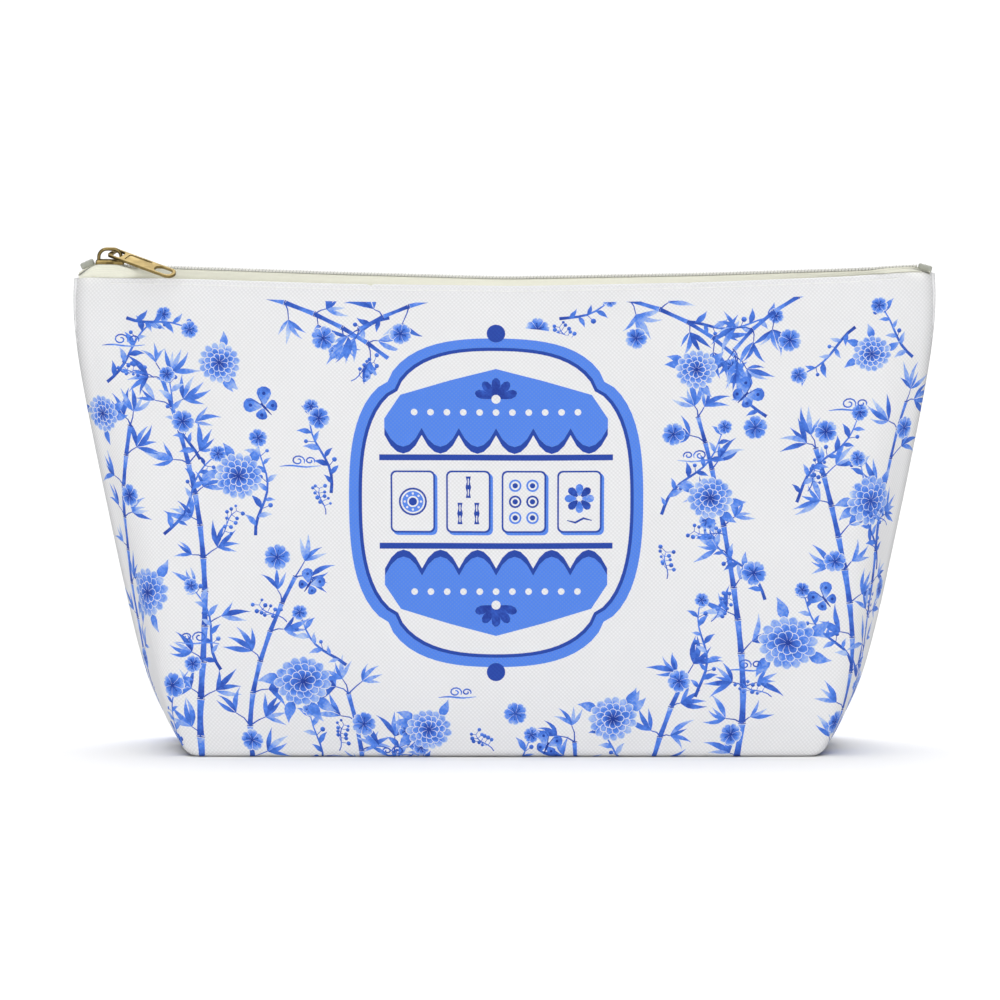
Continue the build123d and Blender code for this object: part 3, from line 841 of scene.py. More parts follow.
# Where the print's motifs stand on the flat cloth, in millimetres, with angles in radians.
# Canes: x, y, angle, joints, step, width, curve
CANES = [
    (-148, -38, 1.66, 12, 16.0, 2.5, -0.030),
    (-118, -20, 1.38, 13, 15.0, 2.2, 0.042),
    (-92, -40, 1.72, 9, 14.0, 1.8, -0.075),
    (-60, -30, 1.25, 5, 12.0, 1.6, 0.14),
    (-36, -38, 1.85, 4, 11.0, 1.5, -0.10),
    (22, -36, 1.30, 4, 11.5, 1.5, 0.12),
    (58, -40, 1.75, 6, 13.0, 1.8, -0.12),
    (86, -28, 1.50, 13, 14.5, 2.2, 0.030),
    (120, -40, 1.36, 12, 15.5, 2.4, 0.048),
    (150, -30, 1.80, 13, 15.0, 2.1, -0.040),
]
ARCHING_CANES = [
    (-92, 174, -0.25, 6, 12.0, 1.5, -0.10),
    (-14, 176, 3.35, 4, 11.0, 1.3, 0.10),
    (34, 175, -0.20, 5, 12.0, 1.4, -0.13),
    (118, 176, 3.50, 4, 11.0, 1.3, 0.16),
]
# Vines: x, y, angle, length, sway
VINES = [
    (-136, -20, 1.35, 62, 0.16), (-104, 34, 2.25, 34, 0.20), (-126, 84, 0.75, 40, -0.18),
    (-92, 84, 1.75, 40, 0.22), (-72, -20, 1.85, 44, -0.20), (-58, 36, 2.3, 30, 0.22),
    (-64, 100, 1.45, 34, -0.20), (-112, 112, 1.9, 36, 0.18), (-146, 140, 0.6, 34, -0.16),
    (-50, -22, 1.2, 40, 0.24), (-16, -24, 1.75, 34, -0.22), (8, -26, 1.2, 38, 0.22),
    (44, -18, 1.9, 40, -0.20), (70, 24, 1.4, 40, 0.22), (58, 92, 1.2, 42, 0.20),
    (96, 60, 1.9, 40, -0.22), (112, -20, 1.2, 46, 0.20), (128, 36, 1.9, 36, -0.20),
    (108, 96, 1.1, 42, 0.20), (142, 70, 1.6, 46, -0.16), (134, -26, 1.3, 48, 0.18),
    (96, 128, 2.5, 26, 0.2), (128, 160, 3.6, 30, 0.18), (-42, 166, 3.3, 26, -0.2),
    (66, 164, 0.1, 34, 0.2), (20, 166, 0.2, 22, -0.2), (-138, 164, -0.5, 24, 0.2),
    (150, 148, 2.6, 24, 0.2),
]
# Flower heads: x, y, radius, squash
FLOWER_HEADS = [
    (-134, 62, 10.0, 0.9), (-98, 106, 8.5, 1.0), (-74, 30, 10.5, 0.85), (-104, 148, 7.5, 1.0),
    (-150, 128, 7.5, 0.9), (76, 98, 8.5, 0.9), (104, 44, 11.0, 0.88), (136, 96, 9.0, 1.0),
    (70, 146, 7.5, 0.95), (146, 24, 8.0, 1.0), (-28, 12, 8.5, 0.85), (40, 16, 9.0, 0.9),
    (-112, -16, 8.0, 1.0), (66, -14, 8.5, 0.9), (-40, -26, 7.5, 1.0), (134, 150, 7.0, 0.9),
]
# Blossoms: x, y, radius
BLOSSOMS = [
    (-122, 28, 4.6), (-140, 98, 4.2), (-84, 76, 4.8), (-66, 158, 4.4), (-68, 128, 4.0), (-118, 126, 4.2),
    (-94, 8, 4.0), (-52, 14, 4.4), (4, 18, 4.2), (12, 162, 4.4), (-38, 160, 4.0), (62, 122, 4.2),
    (92, 70, 4.6), (92, 124, 4.4), (118, 122, 4.2), (122, 74, 4.0), (64, 30, 4.2), (124, 14, 4.4),
    (84, 10, 4.0), (104, 156, 4.2), (48, 158, 4.0), (150, 62, 4.4), (-150, 36, 4.0), (150, 122, 4.2),
]
# Sprigs of buds: x, y, angle, length
SPRIGS = [
    (-106, 82, 0.6, 13), (-128, 142, 2.4, 12), (-80, 52, 2.2, 12), (-56, 142, 0.3, 11),
    (-146, 12, 1.2, 13), (-62, 4, 0.9, 10), (26, 156, 1.9, 9), (82, 84, 2.6, 12),
    (112, 100, 0.8, 12), (138, 48, 1.0, 13), (76, 52, 0.5, 11), (-4, 4, 2.0, 9),
    (148, 86, 2.2, 12), (98, 24, 2.3, 12), (60, 68, 1.2, 10), (-66, 92, 1.4, 10),
]
# Butterflies: x, y, size, angle
BUTTERFLIES = [
    (-88, 132, 7.5, 2.3), (88, 136, 7.0, 0.8), (-128, 8, 6.5, 0.7),
    (118, 60, 6.5, 2.2), (16, 6, 6.0, 1.2), (-72, 66, 6.0, 1.0),
]
# Cloud curls: x, y, size, the side that they turn to
CLOUDS = [
    (-140, 156, 2.8, 1), (-112, 46, 2.8, -1), (-76, 112, 2.6, 1), (72, 114, 2.6, -1), (126, 132, 2.8, 1),
    (138, 8, 2.6, -1), (-18, 26, 2.4, 1), (-40, 4, 2.4, -1), (88, 36, 2.6, 1),
]
PLAQUE_MIDDLE = (-3.1, 97.0)


def draw_print():
    """Blue canes, vines, flower heads, blossoms, butterflies and clouds, and the plaque."""
    art, dice = Print(), random.Random(11)
    for cane in CANES:
        art.cane(*cane, dice, 1)
    for vine in VINES:
        art.vine(*vine, dice)
    for cane in ARCHING_CANES:
        art.cane(*cane, dice)
    for x, y, radius, squash in FLOWER_HEADS:
        for _ in range(4):
            angle = dice.uniform(0, 6.28)
            foot = away_from(x, y, radius * 0.7, angle)
            art.leaf(*foot, angle, radius * 0.9, radius * 0.4, 0.62, 0.35)
        art.daisy(x, y, radius, dice.uniform(0, 1), squash)
    for blossom in BLOSSOMS:
        art.blossom(*blossom, dice.uniform(0, 1.2))
    for sprig in SPRIGS:
        art.sprig(*sprig, dice)
    for butterfly in BUTTERFLIES:
        art.butterfly(*butterfly)
    for cloud in CLOUDS:
        art.cloud(*cloud)
    plaque(art, *PLAQUE_MIDDLE)
    return art.shapes


def anticlockwise(outline):
    """The outline, turned round if it runs clockwise."""
    area = sum(a[0] * b[1] - b[0] * a[1] for a, b in zip(outline, outline[1:] + outline[:1]))
    return list(outline) if area > 0 else outline[::-1]


def finely(outline):
    """The outline with more points along its long edges, so that it can follow the curved wall."""
    places = []
    for (ax, ay), (bx, by) in zip(outline, outline[1:] + outline[:1]):
        parts = max(1, math.ceil(math.hypot(bx - ax, by - ay) / LONGEST_EDGE))
        places += [(ax + (bx - ax) * k / parts, ay + (by - ay) * k / parts) for k in range(parts)]
    return places


def encloses(outline, x, y):
    """Whether a place lies inside an outline."""
    inside = False
    for (ax, ay), (bx, by) in zip(outline, outline[1:] + outline[:1]):
        if (ay > y) != (by > y) and x < ax + (y - ay) * (bx - ax) / (by - ay):
            inside = not inside
    return inside


def print_marks(shapes, border, dots, top_line):
    """Triangles of flat cloth cut along the print's outlines, with tone and wash at each corner."""
    points, faces, kept = anticlockwise(border), [list(range(len(border)))], [None]
    low, high = min(p[0] for p in border), max(p[0] for p in border)
    foot, top = min(p[1] for p in border), min(max(p[1] for p in border), PRINT_TOP)
    for shape in shapes:
        outline = shape[0]
        xs, ys = [p[0] for p in outline], [p[1] for p in outline]
        if max(xs) < low or min(xs) > high or min(ys) > top or max(ys) < foot:
            continue
        outline = finely(anticlockwise(outline))
        faces.append(list(range(len(points), len(points) + len(outline))))
        points += outline
        kept.append(shape)
    edges = []
    if top_line:
        edges.append((len(points), len(points) + 1))
        points += [(low, PRINT_TOP), (high, PRINT_TOP)]
    points += dots
    found = geometry.delaunay_2d_cdt([Vector(p) for p in points], edges, faces, 0, 1e-5, True)
    flat = np.array([(p.x, p.y) for p in found[0]])
    triangles, tones, washes = [], [], []
    for triangle, origins in zip(found[2], found[5]):
        if 0 not in origins:
            continue
        x, y = flat[list(triangle)].mean(axis=0)
        over = [kept[k] for k in sorted(origins, reverse=True) if k and encloses(kept[k][0], x, y)]
        triangles.append(triangle)
        if not over or y > PRINT_TOP:
            tones += [0.0] * 3
            washes += [0.0] * 3
            continue
        _, tone, far_tone, (sx, sy), (ex, ey), wash = over[0]
        run = (ex - sx) ** 2 + (ey - sy) ** 2 or 1.0
        for index in triangle:
            t = ((flat[index, 0] - sx) * (ex - sx) + (flat[index, 1] - sy) * (ey - sy)) / run
            tones.append(tone + (far_tone - tone) * min(max(t, 0), 1))
            washes.append(wash)
    used, places = np.unique(np.array(triangles), return_inverse=True)
    return flat[used], places.reshape(-1, 3).tolist(), tones, washes


def printed_piece(name, surface, marks, material):
    """A sheet of printed cloth on a surface."""
    flat, triangles, tones, washes = marks
    u, v = flat[:, 0], flat[:, 1]
    piece = to_object(name, surface(u, v), triangles, material, facing(surface, u, v))
    lay_out_cloth(piece, u, v)
    for label, amounts in (("tone", tones), ("wash", washes)):
        layer = piece.data.attributes.new(label, "FLOAT", "CORNER")
        layer.data.foreach_set("value", np.array(amounts, np.float32))
    return piece


# ---------------------------------------------------------------- cloth pieces

SIDES = (("left", -1), ("right", 1))


def flat_rows():
    """Heights on the flat cloth where the walls have vertices."""
    fold = np.linspace(0, FOLD_LENGTH, 7)
    face = np.concatenate([np.linspace(FOLD_LENGTH + 2.5, PRINT_TOP - 2.5, 58), [PRINT_TOP, PRINT_TOP + 1.3]])
    rim = [CLOTH_RIM - 3.4, CLOTH_RIM - 2, CLOTH_RIM - 1, CLOTH_RIM - 0.4, CLOTH_RIM]
    roll = CLOTH_RIM + RIM_ROLL * np.linspace(0.125, 1, 8)
    hem = CLOTH_RIM + RIM_ROLL + np.array([1.0, 4.0, HEM])
    return np.concatenate([fold, face, rim, roll, hem])


def flat_columns():
    """Places across one half of the cloth, closer together round the soft edge."""
    face, edge, seam = np.linspace(0, 108, 37), np.linspace(109.5, 157.5, 33), [158.2, 158.7, CLOTH_HALF]
    return np.concatenate([face, edge, seam])


def opens_with(piece, side, wall):
    """Bakes the piece's place into its mesh."""
    y = -BASE_DEPTH * MM if wall == "front_wall" else BASE_DEPTH * MM
    side * OPENS_FROM * MM
    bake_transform(piece)


def wall_cloth(shapes, canvas):
    """The printed walls in halves that meet at the middle, front and back."""
    rows, columns = flat_rows(), flat_columns()
    top = float(rows[-1])
    pieces = []
    for half in (-1, 1):
        across = np.sort(half * columns)
        low, high = float(across[0]), float(across[-1])
        outline = [(low, 0.0), (high, 0.0), (high, top), (low, top)]
        dots = [(u, v) for u in across for v in rows]
        marks = print_marks(shapes, outline, dots, True)
        for wall, surface, turn in (("front_wall", front_cloth, 1), ("back_wall", back_cloth, -1)):
            side = half * turn
            name = f"{wall.split('_')[0]}_cloth_{'left' if side < 0 else 'right'}"
            piece = printed_piece(name, surface, marks, canvas)
            pieces.append((piece, side, wall))
    return pieces


def base_surface(side):
    """One half of the base, flat on the floor but turned up a little at its middle seam."""

    def surface(x, v):
        x, v = np.asarray(x, float), np.asarray(v, float)
        y = -(BASE_DEPTH - FOLD_RADIUS) * (1 + v / BASE_DEPTH)
        lift = 0.9 * np.exp(-((y / 0.8) ** 2))
        z = 0.02 + lift
        return np.stack([x * side, y * side, z], -1)

    return surface


def base_cloth(shapes, canvas):
    """The printed cloth under the base, in two halves sewn along the middle."""
    across = np.sort(np.concatenate([-flat_columns(), flat_columns()[1:]]))
    edge = front_cloth(across, np.zeros_like(across))
    outline = [(float(x), float((-y / (BASE_DEPTH - FOLD_RADIUS) - 1) * BASE_DEPTH)) for x, y, _ in edge]
    inside = max(x for x, _ in outline) - 2
    steps = [-41.4, -41.0, -40.6, -40.2, -39.6, -38.8, -36, -30, -24, -18, -12, -6]
    dots = [(x, v) for x in np.linspace(-inside, inside, 40) for v in steps]
    marks = print_marks(shapes, outline, dots, False)
    pieces = []
    for name, side in (("front", 1), ("back", -1)):
        pieces.append((printed_piece(f"{name}_base_cloth", base_surface(side), marks, canvas), side))
    return pieces


def rim_depths(x):
    """How far the rim's outer face and the hem's inner face lie from the middle plane."""
    depth = -front_cloth(x, np.full_like(x, CLOTH_RIM))[..., 1]
    fold = np.minimum(0.7, np.maximum(0.12, (depth - 0.15) / 2))
    return depth, depth - 2 * fold


def end_drop(x):
    """How far the zip's ends turn down towards the corners."""
    past = np.clip((np.abs(x) - 151.0) / 7.5, 0, 1)
    return (3.4 - 0.9 * (x > 0)) * past**1.4


def tape_surface(side):
    """The zip tape, from under its coil, out over a small shelf and down inside the hem.

    Beside the parked slider it puckers up over the slider's lower plate.
    """

    def surface(x, t):
        x, t = np.broadcast_arrays(np.asarray(x, float), np.asarray(t, float))
        _, hem = rim_depths(x)
        foot = np.maximum(hem - 0.3, 0.3)
        crown, rim = chain_line(x) - end_drop(x), rim_line(x)
        shelf = np.clip((np.abs(x) - 135) / 7, 0, 1)
        shelf = shelf * shelf * (3 - 2 * shelf) * np.where(x > 0, 0.8, 1.0)
        level = crown - 0.60 + 0.54 * shelf
        pucker = np.exp(-(((x - PUCKER_MIDDLE) / PUCKER_REACH) ** 4))
        edge = np.maximum(foot * 0.62 + 1.4, 0.5) + 1.75 * shelf + 0.5 * pucker
        slope = level * 0.45 + rim * 0.55
        shelf_y = (2.9 + edge) / 2 * (1 - shelf) + 5.45 * shelf
        shelf_z = (level - 0.25 + slope) / 2 * (1 - shelf) + (level - 0.1 + pucker) * shelf
        stops = [
            (0.9 + 0 * x, level),
            (2.2 + 0.3 * shelf, level),
            (2.9 + 1.8 * shelf, level - 0.25 + 0.2 * shelf),
            (shelf_y, shelf_z),
            (edge, slope + 0.5 * pucker),
            (foot + 0.15 + 0.8 * shelf, rim + 0.5),
            (foot, rim - 1.4),
            (foot, rim - TAPE_TUCK),
        ]
        place = np.clip(t, 0, 1) * (len(stops) - 1)
        low = np.minimum(place.astype(int), len(stops) - 2)
        part = place - low
        ys, zs = np.stack([s[0] for s in stops]), np.stack([s[1] for s in stops])

        def blended(values):
            def at(k):
                return np.take_along_axis(values, np.clip(k, 0, len(stops) - 1)[None], 0)[0]

            p0, p1, p2, p3 = at(low - 1), at(low), at(low + 1), at(low + 2)
            second, third = 2 * p0 - 5 * p1 + 4 * p2 - p3, 3 * p1 - p0 - 3 * p2 + p3
            return 0.5 * (2 * p1 + (p2 - p0) * part + second * part**2 + third * part**3)

        return np.stack([x, side * blended(ys), blended(zs)], -1)

    return surface


def tape_strip(name, surface, xs, material, out):
    """A tape of woven cloth with its thickness, closed all round."""
    ts = np.linspace(0, 1, 19)
    x, t = (a.ravel() for a in np.meshgrid(xs, ts, indexing="ij"))
    top = surface(x, t)
    across = surface(x, t + 1e-3) - surface(x, np.maximum(t - 1e-3, 0))
    along = surface(x + 0.05, t) - surface(x - 0.05, t)
    away = np.cross(along, across) * out
    away /= np.linalg.norm(away, axis=-1, keepdims=True)
    points = np.concatenate([top, top - away * TAPE_THICKNESS])
    n, m = len(xs), len(ts)
    second = n * m
    faces = []
    for i in range(n - 1):
        for j in range(m - 1):
            a = i * m + j
            faces.append((a, a + 1, a + m + 1, a + m))
            faces.append((second + a, second + a + m, second + a + m + 1, second + a + 1))
        for j in (0, m - 1):
            a, b = i * m + j, (i + 1) * m + j
            faces.append((a, b, second + b, second + a) if j == 0 else (b, a, second + a, second + b))
    for i in (0, n - 1):
        for j in range(m - 1):
            a, b = i * m + j, i * m + j + 1
            faces.append((b, a, second + a, second + b) if i == 0 else (a, b, second + b, second + a))
    if out > 0:
        faces = [f[::-1] for f in faces]
    piece = to_object(name, points, faces, material, np.concatenate([away, -away]))
    lay_out_cloth(piece, np.concatenate([x, x]), np.concatenate([t, t]) * TAPE_WIDTH)
    return piece


def seam_bead(name, side, material):
    """The turned edges of front and back, sewn together up one side."""
    vs = np.linspace(FOLD_LENGTH * 0.4, CLOTH_RIM + RIM_ROLL * 0.4, 90)
    spine = front_cloth(np.full_like(vs, side * CLOTH_HALF), np.minimum(vs, CLOTH_RIM))
    points, ring = [], 10
    for k, (x, _, z) in enumerate(spine):
        pull = 0.10 * math.sin(k * 1.9)
        for i in range(ring):
            a = 2 * math.pi * i / ring
            points.append((x - side * (0.75 - 0.62 * math.cos(a)), (0.85 + pull) * math.sin(a), z))
    faces = []
    for k in range(len(spine) - 1):
        for i in range(ring):
            a, b = k * ring + i, k * ring + (i + 1) % ring
            face = (a, b, b + ring, a + ring)
            faces.append(face if side > 0 else face[::-1])
    last = (len(spine) - 1) * ring
    foot, head = tuple(range(ring))[::-1], tuple(range(last, last + ring))
    faces += [foot, head] if side > 0 else [foot[::-1], head[::-1]]
    piece = to_object(name, points, faces, material)
    lay_out_cloth(piece, [p[1] for p in points], [p[2] for p in points])
    return piece


def end_block(name, x, z, tilt, material):
    """A moulded block over one end of the zip, rounded on all its edges."""
    half = (2.55, 2.05, 1.15)
    points, rings, around = [], 9, 24
    for k in range(rings):
        t = -1 + 2 * k / (rings - 1)
        swell_by = (1 - abs(t) ** 6) ** (1 / 6) if abs(t) < 1 else 0.0
        grow = 0.80 + 0.20 * swell_by
        for i in range(around):
            a = 2 * math.pi * i / around
            c, s = math.cos(a), math.sin(a)
            y = half[1] * grow * math.copysign(abs(c) ** 0.35, c)
            up = half[2] * grow * math.copysign(abs(s) ** 0.35, s) * (1 + 0.06 * math.cos(t * 9))
            along = half[0] * t
            right, rise = math.cos(tilt), math.sin(tilt)
            points.append((x + along * right - up * rise, y, z + along * rise + up * right))
    faces = []
    for k in range(rings - 1):
        for i in range(around):
            a, b = k * around + i, k * around + (i + 1) % around
            faces.append((a, b, b + around, a + around))
    last = (rings - 1) * around
    faces += [tuple(range(around))[::-1], tuple(range(last, last + around))]
    return to_object(name, points, faces, material)


def allowance(name, node, material, seed):
    """A pressed seam allowance inside the base, with a frayed outline."""
    low, high = (np.array(corner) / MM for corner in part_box(node))
    dice = random.Random(seed)
    long = 0 if high[0] - low[0] > high[1] - low[1] else 1
    wide = 1 - long
    middle, half = (low + high) / 2, (high - low) / 2
    stations, ring = 60, 12
    points = []
    for k in range(stations + 1):
        along = low[long] + (high[long] - low[long]) * k / stations
        fray = half[wide] * (1 - 0.06 * dice.random())
        for i in range(ring):
            a = 2 * math.pi * i / ring
            c, s = math.cos(a), math.sin(a)
            point = [0.0, 0.0, middle[2] + half[2] * math.copysign(abs(s) ** 0.6, s)]
            point[long] = along
            point[wide] = middle[wide] + fray * math.copysign(abs(c) ** 0.5, c)
            points.append(point)
    faces = []
    for k in range(stations):
        for i in range(ring):
            a, b = k * ring + i, k * ring + (i + 1) % ring
            faces.append((a, b, b + ring, a + ring))
    last = stations * ring
    faces += [tuple(range(ring))[::-1], tuple(range(last, last + ring))]
    if long == 1:
        faces = [f[::-1] for f in faces]
    return to_object(name, points, faces, material)


# ---------------------------------------------------------------- repeated pieces


class Pattern(Graph):
    """A Geometry Nodes tree with named inputs for its sizes."""

    def __init__(self, name, sizes):
        super().__init__(bpy.data.node_groups.new(name, "GeometryNodeTree"))
        face = self.tree.interface
        face.new_socket("Path", in_out="INPUT", socket_type="NodeSocketGeometry")
        for label, (kind, _) in sizes.items():
            face.new_socket(label, in_out="INPUT", socket_type=kind)
        face.new_socket("Geometry", in_out="OUTPUT", socket_type="NodeSocketGeometry")
        self.given = self.node("NodeGroupInput")
        self.result = self.node("NodeGroupOutput")
        self.sizes = sizes

    def size(self, label):
        return self.given.outputs[label]

    def finish(self, instances, material):
        real = self.node("GeometryNodeRealizeInstances", None, {0: instances}).outputs[0]
        smooth = self.node("GeometryNodeSetShadeSmooth", None, {0: real}).outputs[0]
        clad = self.node("GeometryNodeSetMaterial", None, {0: smooth, "Material": material}).outputs[0]
        self.feed(self.result.inputs[0], clad)

    def made(self, name, path, changes=None):
        """A plain mesh piece of this pattern along a path of points in millimetres."""
        curve = bpy.data.curves.new(name + "_path", "CURVE")
        curve.dimensions = "3D"
        line = curve.splines.new("POLY")
        line.points.add(len(path) - 1)
        places = np.concatenate([np.asarray(path) * MM, np.ones((len(path), 1))], 1)
        line.points.foreach_set("co", places.ravel())
        carrier = bpy.data.objects.new(name + "_path", curve)
        bpy.context.scene.collection.objects.link(carrier)
        modifier = carrier.modifiers.new("Pattern", "NODES")
        modifier.node_group = self.tree
        for item in self.tree.interface.items_tree:
            if item.item_type == "SOCKET" and item.in_out == "INPUT" and item.name in self.sizes:
                modifier[item.identifier] = (changes or {}).get(item.name, self.sizes[item.name][1])
        graph = bpy.context.evaluated_depsgraph_get()
        mesh = bpy.data.meshes.new_from_object(carrier.evaluated_get(graph))
        mesh.name = name
        carrier.modifiers.remove(modifier)
        bpy.data.objects.remove(carrier)
        bpy.data.curves.remove(curve)
        piece = bpy.data.objects.new(name, mesh)
        bpy.context.scene.collection.objects.link(piece)
        return piece


def coil_pattern(material):
    """Leaning turns of flattened filament, one for each pitch of the path."""
    sizes = {
        "Pitch": ("NodeSocketFloat", COIL_PITCH * MM),
        "Turn half length": ("NodeSocketFloat", 1.32 * MM),
        "Turn half height": ("NodeSocketFloat", 0.46 * MM),
        "Filament": ("NodeSocketFloat", 0.24 * MM),
        "Offset": ("NodeSocketFloat", COIL_OFFSET * MM),
        "Lean": ("NodeSocketFloat", math.radians(114)),
    }
    pattern = Pattern("zip_coil_turns", sizes)
    values = {"Resolution": 10, "Radius": 1.0}
    ring = pattern.node("GeometryNodeCurvePrimitiveCircle", None, values).outputs[0]
    values = {0: pattern.size("Turn half height"), 1: pattern.size("Turn half length"), 2: 1.0}
    scale = pattern.node("ShaderNodeCombineXYZ", None, values).outputs[0]
    shift = pattern.node("ShaderNodeCombineXYZ", None, {1: pattern.size("Offset")}).outputs[0]
    lean = pattern.node("ShaderNodeCombineXYZ", None, {1: pattern.size("Lean")}).outputs[0]
    values = {"Geometry": ring, "Translation": shift, "Rotation": lean, "Scale": scale}
    turned = pattern.node("GeometryNodeTransform", None, values).outputs[0]
    values = {"Resolution": 5, "Radius": pattern.size("Filament")}
    round_wire = pattern.node("GeometryNodeCurvePrimitiveCircle", None, values).outputs[0]
    values = {"Curve": turned, "Profile Curve": round_wire}
    turn = pattern.node("GeometryNodeCurveToMesh", None, values).outputs[0]
    # Each turn keeps its distance from the middle line as reach, which sets the shade painted into the coil's
    # colour.
    position = pattern.node("GeometryNodeInputPosition").outputs[0]
    spot = pattern.node("ShaderNodeSeparateXYZ", None, {0: position})
    reach = Amount(pattern, spot.outputs[1]).size() * (1 / (COIL_EDGE * MM))
    settings = {"data_type": "FLOAT", "domain": "POINT"}
    values = {"Geometry": turn, "Name": "reach", "Value": reach}
    turn = pattern.node("GeometryNodeStoreNamedAttribute", settings, values).outputs[0]
    return along_path(pattern, turn, (0.0, 0.0, 1.0), material)


def stitch_pattern(material):
    """Threads that rise out of the cloth and dip back in, one for each pitch."""
    sizes = {
        "Pitch": ("NodeSocketFloat", STITCH_PITCH * MM),
        "Stitch": ("NodeSocketFloat", 0.88 * MM),
        "Thread": ("NodeSocketFloat", 0.20 * MM),
    }
    pattern = Pattern("topstitches", sizes)
    half = Amount(pattern, pattern.size("Stitch"))
    ends = []
    for side in (-1.0, 1.0):
        end = pattern.node("ShaderNodeCombineXYZ", None, {0: half * side, 2: -STITCH_DIP * MM})
        ends.append(end.outputs[0])
    values = {"Resolution": 6, "Start": ends[0], "Middle": (0.0, 0.0, STITCH_RISE * MM), "End": ends[1]}
    arc = pattern.node("GeometryNodeCurveQuadraticBezier", None, values).outputs[0]
    values = {"Resolution": 6, "Radius": pattern.size("Thread")}
    thread = pattern.node("GeometryNodeCurvePrimitiveCircle", None, values).outputs[0]
    values = {"Curve": arc, "Profile Curve": thread, "Fill Caps": True}
    stitch = pattern.node("GeometryNodeCurveToMesh", None, values).outputs[0]
    return along_path(pattern, stitch, (0.0, -1.0, 0.0), material)


def along_path(pattern, shape, upright, material):
    """Puts a shape at each pitch along the path, turned with it."""
    values = {0: pattern.size("Path"), "Length": pattern.size("Pitch")}
    spots = pattern.node("GeometryNodeResampleCurve", {"mode": "LENGTH"}, values).outputs[0]
    heading = pattern.node("GeometryNodeInputTangent").outputs[0]
    settings = {"primary_axis": "X", "secondary_axis": "Z"}
    values = {"Primary Axis": heading, "Secondary Axis": upright}
    turned = pattern.node("FunctionNodeAxesToRotation", settings, values).outputs[0]
    values = {"Points": spots, "Instance": shape, "Rotation": turned}
    placed = pattern.node("GeometryNodeInstanceOnPoints", None, values).outputs[0]
    pattern.finish(placed, material)
    return pattern


def zip_coils(pattern):
    """Both halves of the coil, each in two pieces that meet at the middle."""
    pieces = []
    for wall, out, phase in (("front_wall", -1, 0.0), ("back_wall", 1, 0.5)):
        first = COIL_START + phase * COIL_PITCH
        count = int((COIL_END - first) / COIL_PITCH)
        middle = int((0 - first) / COIL_PITCH)
        for side, low, high in ((-1, 0, middle), (1, middle + 1, count)):
            xs = first + COIL_PITCH * np.arange(low, high + 1)
            path = np.stack([xs, np.zeros_like(xs), chain_line(xs)], -1)
            name = f"{wall.split('_')[0]}_coil_{'left' if side < 0 else 'right'}"
            pieces.append((pattern.made(name, path, {"Offset": out * COIL_OFFSET * MM}), side, wall))
    return pieces


def topstitches(pattern):
    """The row of stitches below both rims, each in two pieces."""
    pieces = []
    for wall, surface in (("front_wall", front_cloth), ("back_wall", back_cloth)):
        for side in (-1, 1):
            us = side * (np.arange(STITCH_COUNT) + 0.5) * STITCH_PITCH
            us = us if surface is front_cloth else -us
            vs = np.full_like(us, CLOTH_RIM - STITCH_DROP)
            path = surface(us, vs) + facing(surface, us, vs) * 0.06
            path = path[np.argsort(path[:, 0])]
            name = f"{wall.split('_')[0]}_topstitch_{'left' if side < 0 else 'right'}"
            pieces.append((pattern.made(name, path), side, wall))
    return pieces


# ---------------------------------------------------------------- the bag

canvas = printed_cloth()
lining_cloth = plain_cloth("lining", (0.80, 0.79, 0.74), 0.5)
allowance_cloth = raw_edge_cloth()
tape_finish = tape_cloth()
thread_finish = spun_thread()
coil_finish = coil_nylon()
plastic_finish = stop_plastic()
gold_finish = gold_plate()

shapes = draw_print()
for piece, side, wall in wall_cloth(shapes, canvas):
    opens_with(piece, side, wall)
    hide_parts(wall.replace("wall", "panel"))

for piece, side in base_cloth(shapes, canvas):
    name = "front_panel_base" if side > 0 else "back_panel_base"
    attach(piece, "base")
    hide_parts(name)

for wall, surface in (("front_wall", front_cloth), ("back_wall", back_cloth)):
    for side in (-1, 1):
        turn = side if wall == "front_wall" else -side
        us = np.sort(turn * np.concatenate([np.linspace(0, 105, 36), np.linspace(108, CLOTH_HALF, 26)]))
        vs = np.concatenate([np.linspace(2, 20, 10), np.linspace(23, 169, 50)])
        name = f"{wall.split('_')[0]}_lining_{'left' if side < 0 else 'right'}"

        def inside(u, v, outer=surface):
            return outer(u, v, LINING_INSET)

        inner = cloth_grid(name, inside, us, vs, lining_cloth, flip=True)
        opens_with(inner, side, wall)
        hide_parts(wall.replace("wall", "lining"))


def inner_floor(x, y):
    """The lining over the base, a little loose over the seams below it."""
    x, y = np.asarray(x, float), np.asarray(y, float)
    z = 2.35 + 0.35 * np.sin(x / 19.0 + 1) * np.sin(y / 11.0) * np.clip((112 - np.abs(x)) / 20, 0, 1)
    return np.stack([x, y, z], -1)


across, along = np.linspace(-113.6, 113.6, 90), np.linspace(-37.6, 37.6, 32)
floor_lining = cloth_grid("base_lining_cloth", inner_floor, across, along, lining_cloth)
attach(floor_lining, "base")
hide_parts("base_lining")

for number, node in enumerate(("bottom_seam", "left_corner_seam", "right_corner_seam")):
    piece = allowance(node + "_edges", node, allowance_cloth, number)
    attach(piece, "base")
    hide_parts(node)

for name, side in SIDES:
    piece = seam_bead(f"{name}_seam_bead", side, canvas)
    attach(piece, "base")
    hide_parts(f"{name}_side_seam")

for wall, out in (("front_wall", -1), ("back_wall", 1)):
    for side in (-1, 1):
        xs = np.sort(side * np.concatenate([np.linspace(0, 150, 76), np.linspace(151, 158.2, 10)]))
        name = f"{wall.split('_')[0]}_tape_{'left' if side < 0 else 'right'}"
        piece = tape_strip(name, tape_surface(out), xs, tape_finish, out)
        opens_with(piece, side, wall)
        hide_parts(wall.replace("wall", "zip_tape"))

for piece, side, wall in zip_coils(coil_pattern(coil_finish)):
    opens_with(piece, side, wall)
    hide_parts(wall.replace("wall", "zip_coil"))

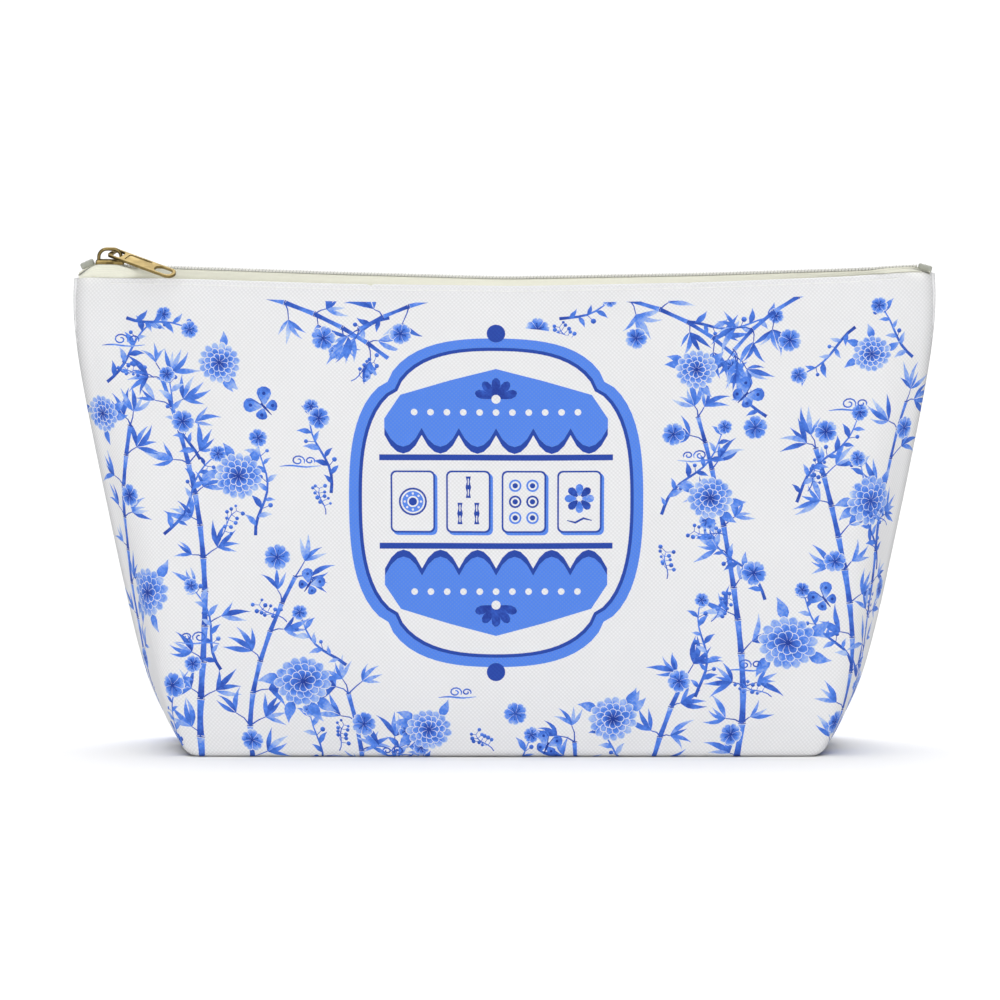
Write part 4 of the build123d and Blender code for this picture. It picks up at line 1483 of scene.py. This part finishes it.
for piece, side, wall in topstitches(stitch_pattern(thread_finish)):
    opens_with(piece, side, wall)
    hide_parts(wall.replace("wall", "topstitch"))

for name, x, z, tilt in (("left", -155.1, 180.0, 24), ("right", 156.4, 178.6, -15)):
    piece = end_block(f"{name}_end_block", x, z, math.radians(tilt), plastic_finish)
    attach(piece, "base")
    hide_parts(f"{name}_end_stop")

for node in ("slider_body", "slider_crown", "pull_tab"):
    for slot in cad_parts[node].material_slots:
        slot.material = gold_finish


# ---------------------------------------------------------------- floor, light and camera


def pale_floor():
    """A plain floor just below the bag, which is no part of it."""
    mesh = bpy.data.meshes.new("floor")
    reach, level = 30.0, -0.0001
    corners = [(-reach, -reach, level), (reach, -reach, level), (reach, reach, level), (-reach, reach, level)]
    mesh.from_pydata(corners, [], [(0, 1, 2, 3)])
    mesh.materials.append(floor_finish())
    floor = bpy.data.objects.new("floor", mesh)
    bpy.context.scene.collection.objects.link(floor)


def wide_light(name, towards, energy, angle):
    """A light from far away that is as soft as a large panel."""
    light = bpy.data.lights.new(name, "SUN")
    light.energy, light.angle = energy, math.radians(angle)
    holder = bpy.data.objects.new(name, light)
    holder.rotation_euler = Vector(towards).to_track_quat("Z", "Y").to_euler()
    bpy.context.scene.collection.objects.link(holder)


def studio():
    """A dim white surround, two soft lights from above and behind, and one from the front."""
    world = bpy.data.worlds.new("studio")
    world.use_nodes = True
    world.node_tree.nodes["Background"].inputs["Color"].default_value = (1.0, 1.0, 1.0, 1.0)
    world.node_tree.nodes["Background"].inputs["Strength"].default_value = 0.05
    bpy.context.scene.world = world
    bpy.context.scene.view_settings.view_transform = "Standard"
    wide_light("overhead", (0.0, 0.12, 1.0), 1.5, 70)
    wide_light("behind", (0.0, 0.42, 1.0), 1.7, 60)
    wide_light("front", (-0.05, -1.0, 0.14), 2.0, 60)


def camera():
    """A long lens that looks down a little on the bag, square to its front."""
    lens, sensor = 600.0, 36.0
    picture, pixels_per_mm = 1000, 2.7
    width = picture / pixels_per_mm * MM
    distance = width * lens / sensor
    rise = math.radians(5.0)
    data = bpy.data.cameras.new("camera")
    data.lens, data.sensor_width = lens, sensor
    data.clip_start, data.clip_end = 0.1, 100.0
    holder = bpy.data.objects.new("camera", data)
    foot_row, middle_shift = 757, 4.5
    up = (foot_row - picture / 2) / pixels_per_mm * MM
    foot = Vector((-middle_shift / pixels_per_mm * MM, -BASE_DEPTH * MM, 0))
    aim = foot + Vector((0, math.sin(rise), math.cos(rise))) * up
    away = Vector((0, -math.cos(rise), math.sin(rise)))
    holder.location = aim + away * distance
    holder.rotation_euler = (-away).to_track_quat("-Z", "Y").to_euler()
    bpy.context.scene.collection.objects.link(holder)
    bpy.context.scene.camera = holder


pale_floor()
studio()
camera()
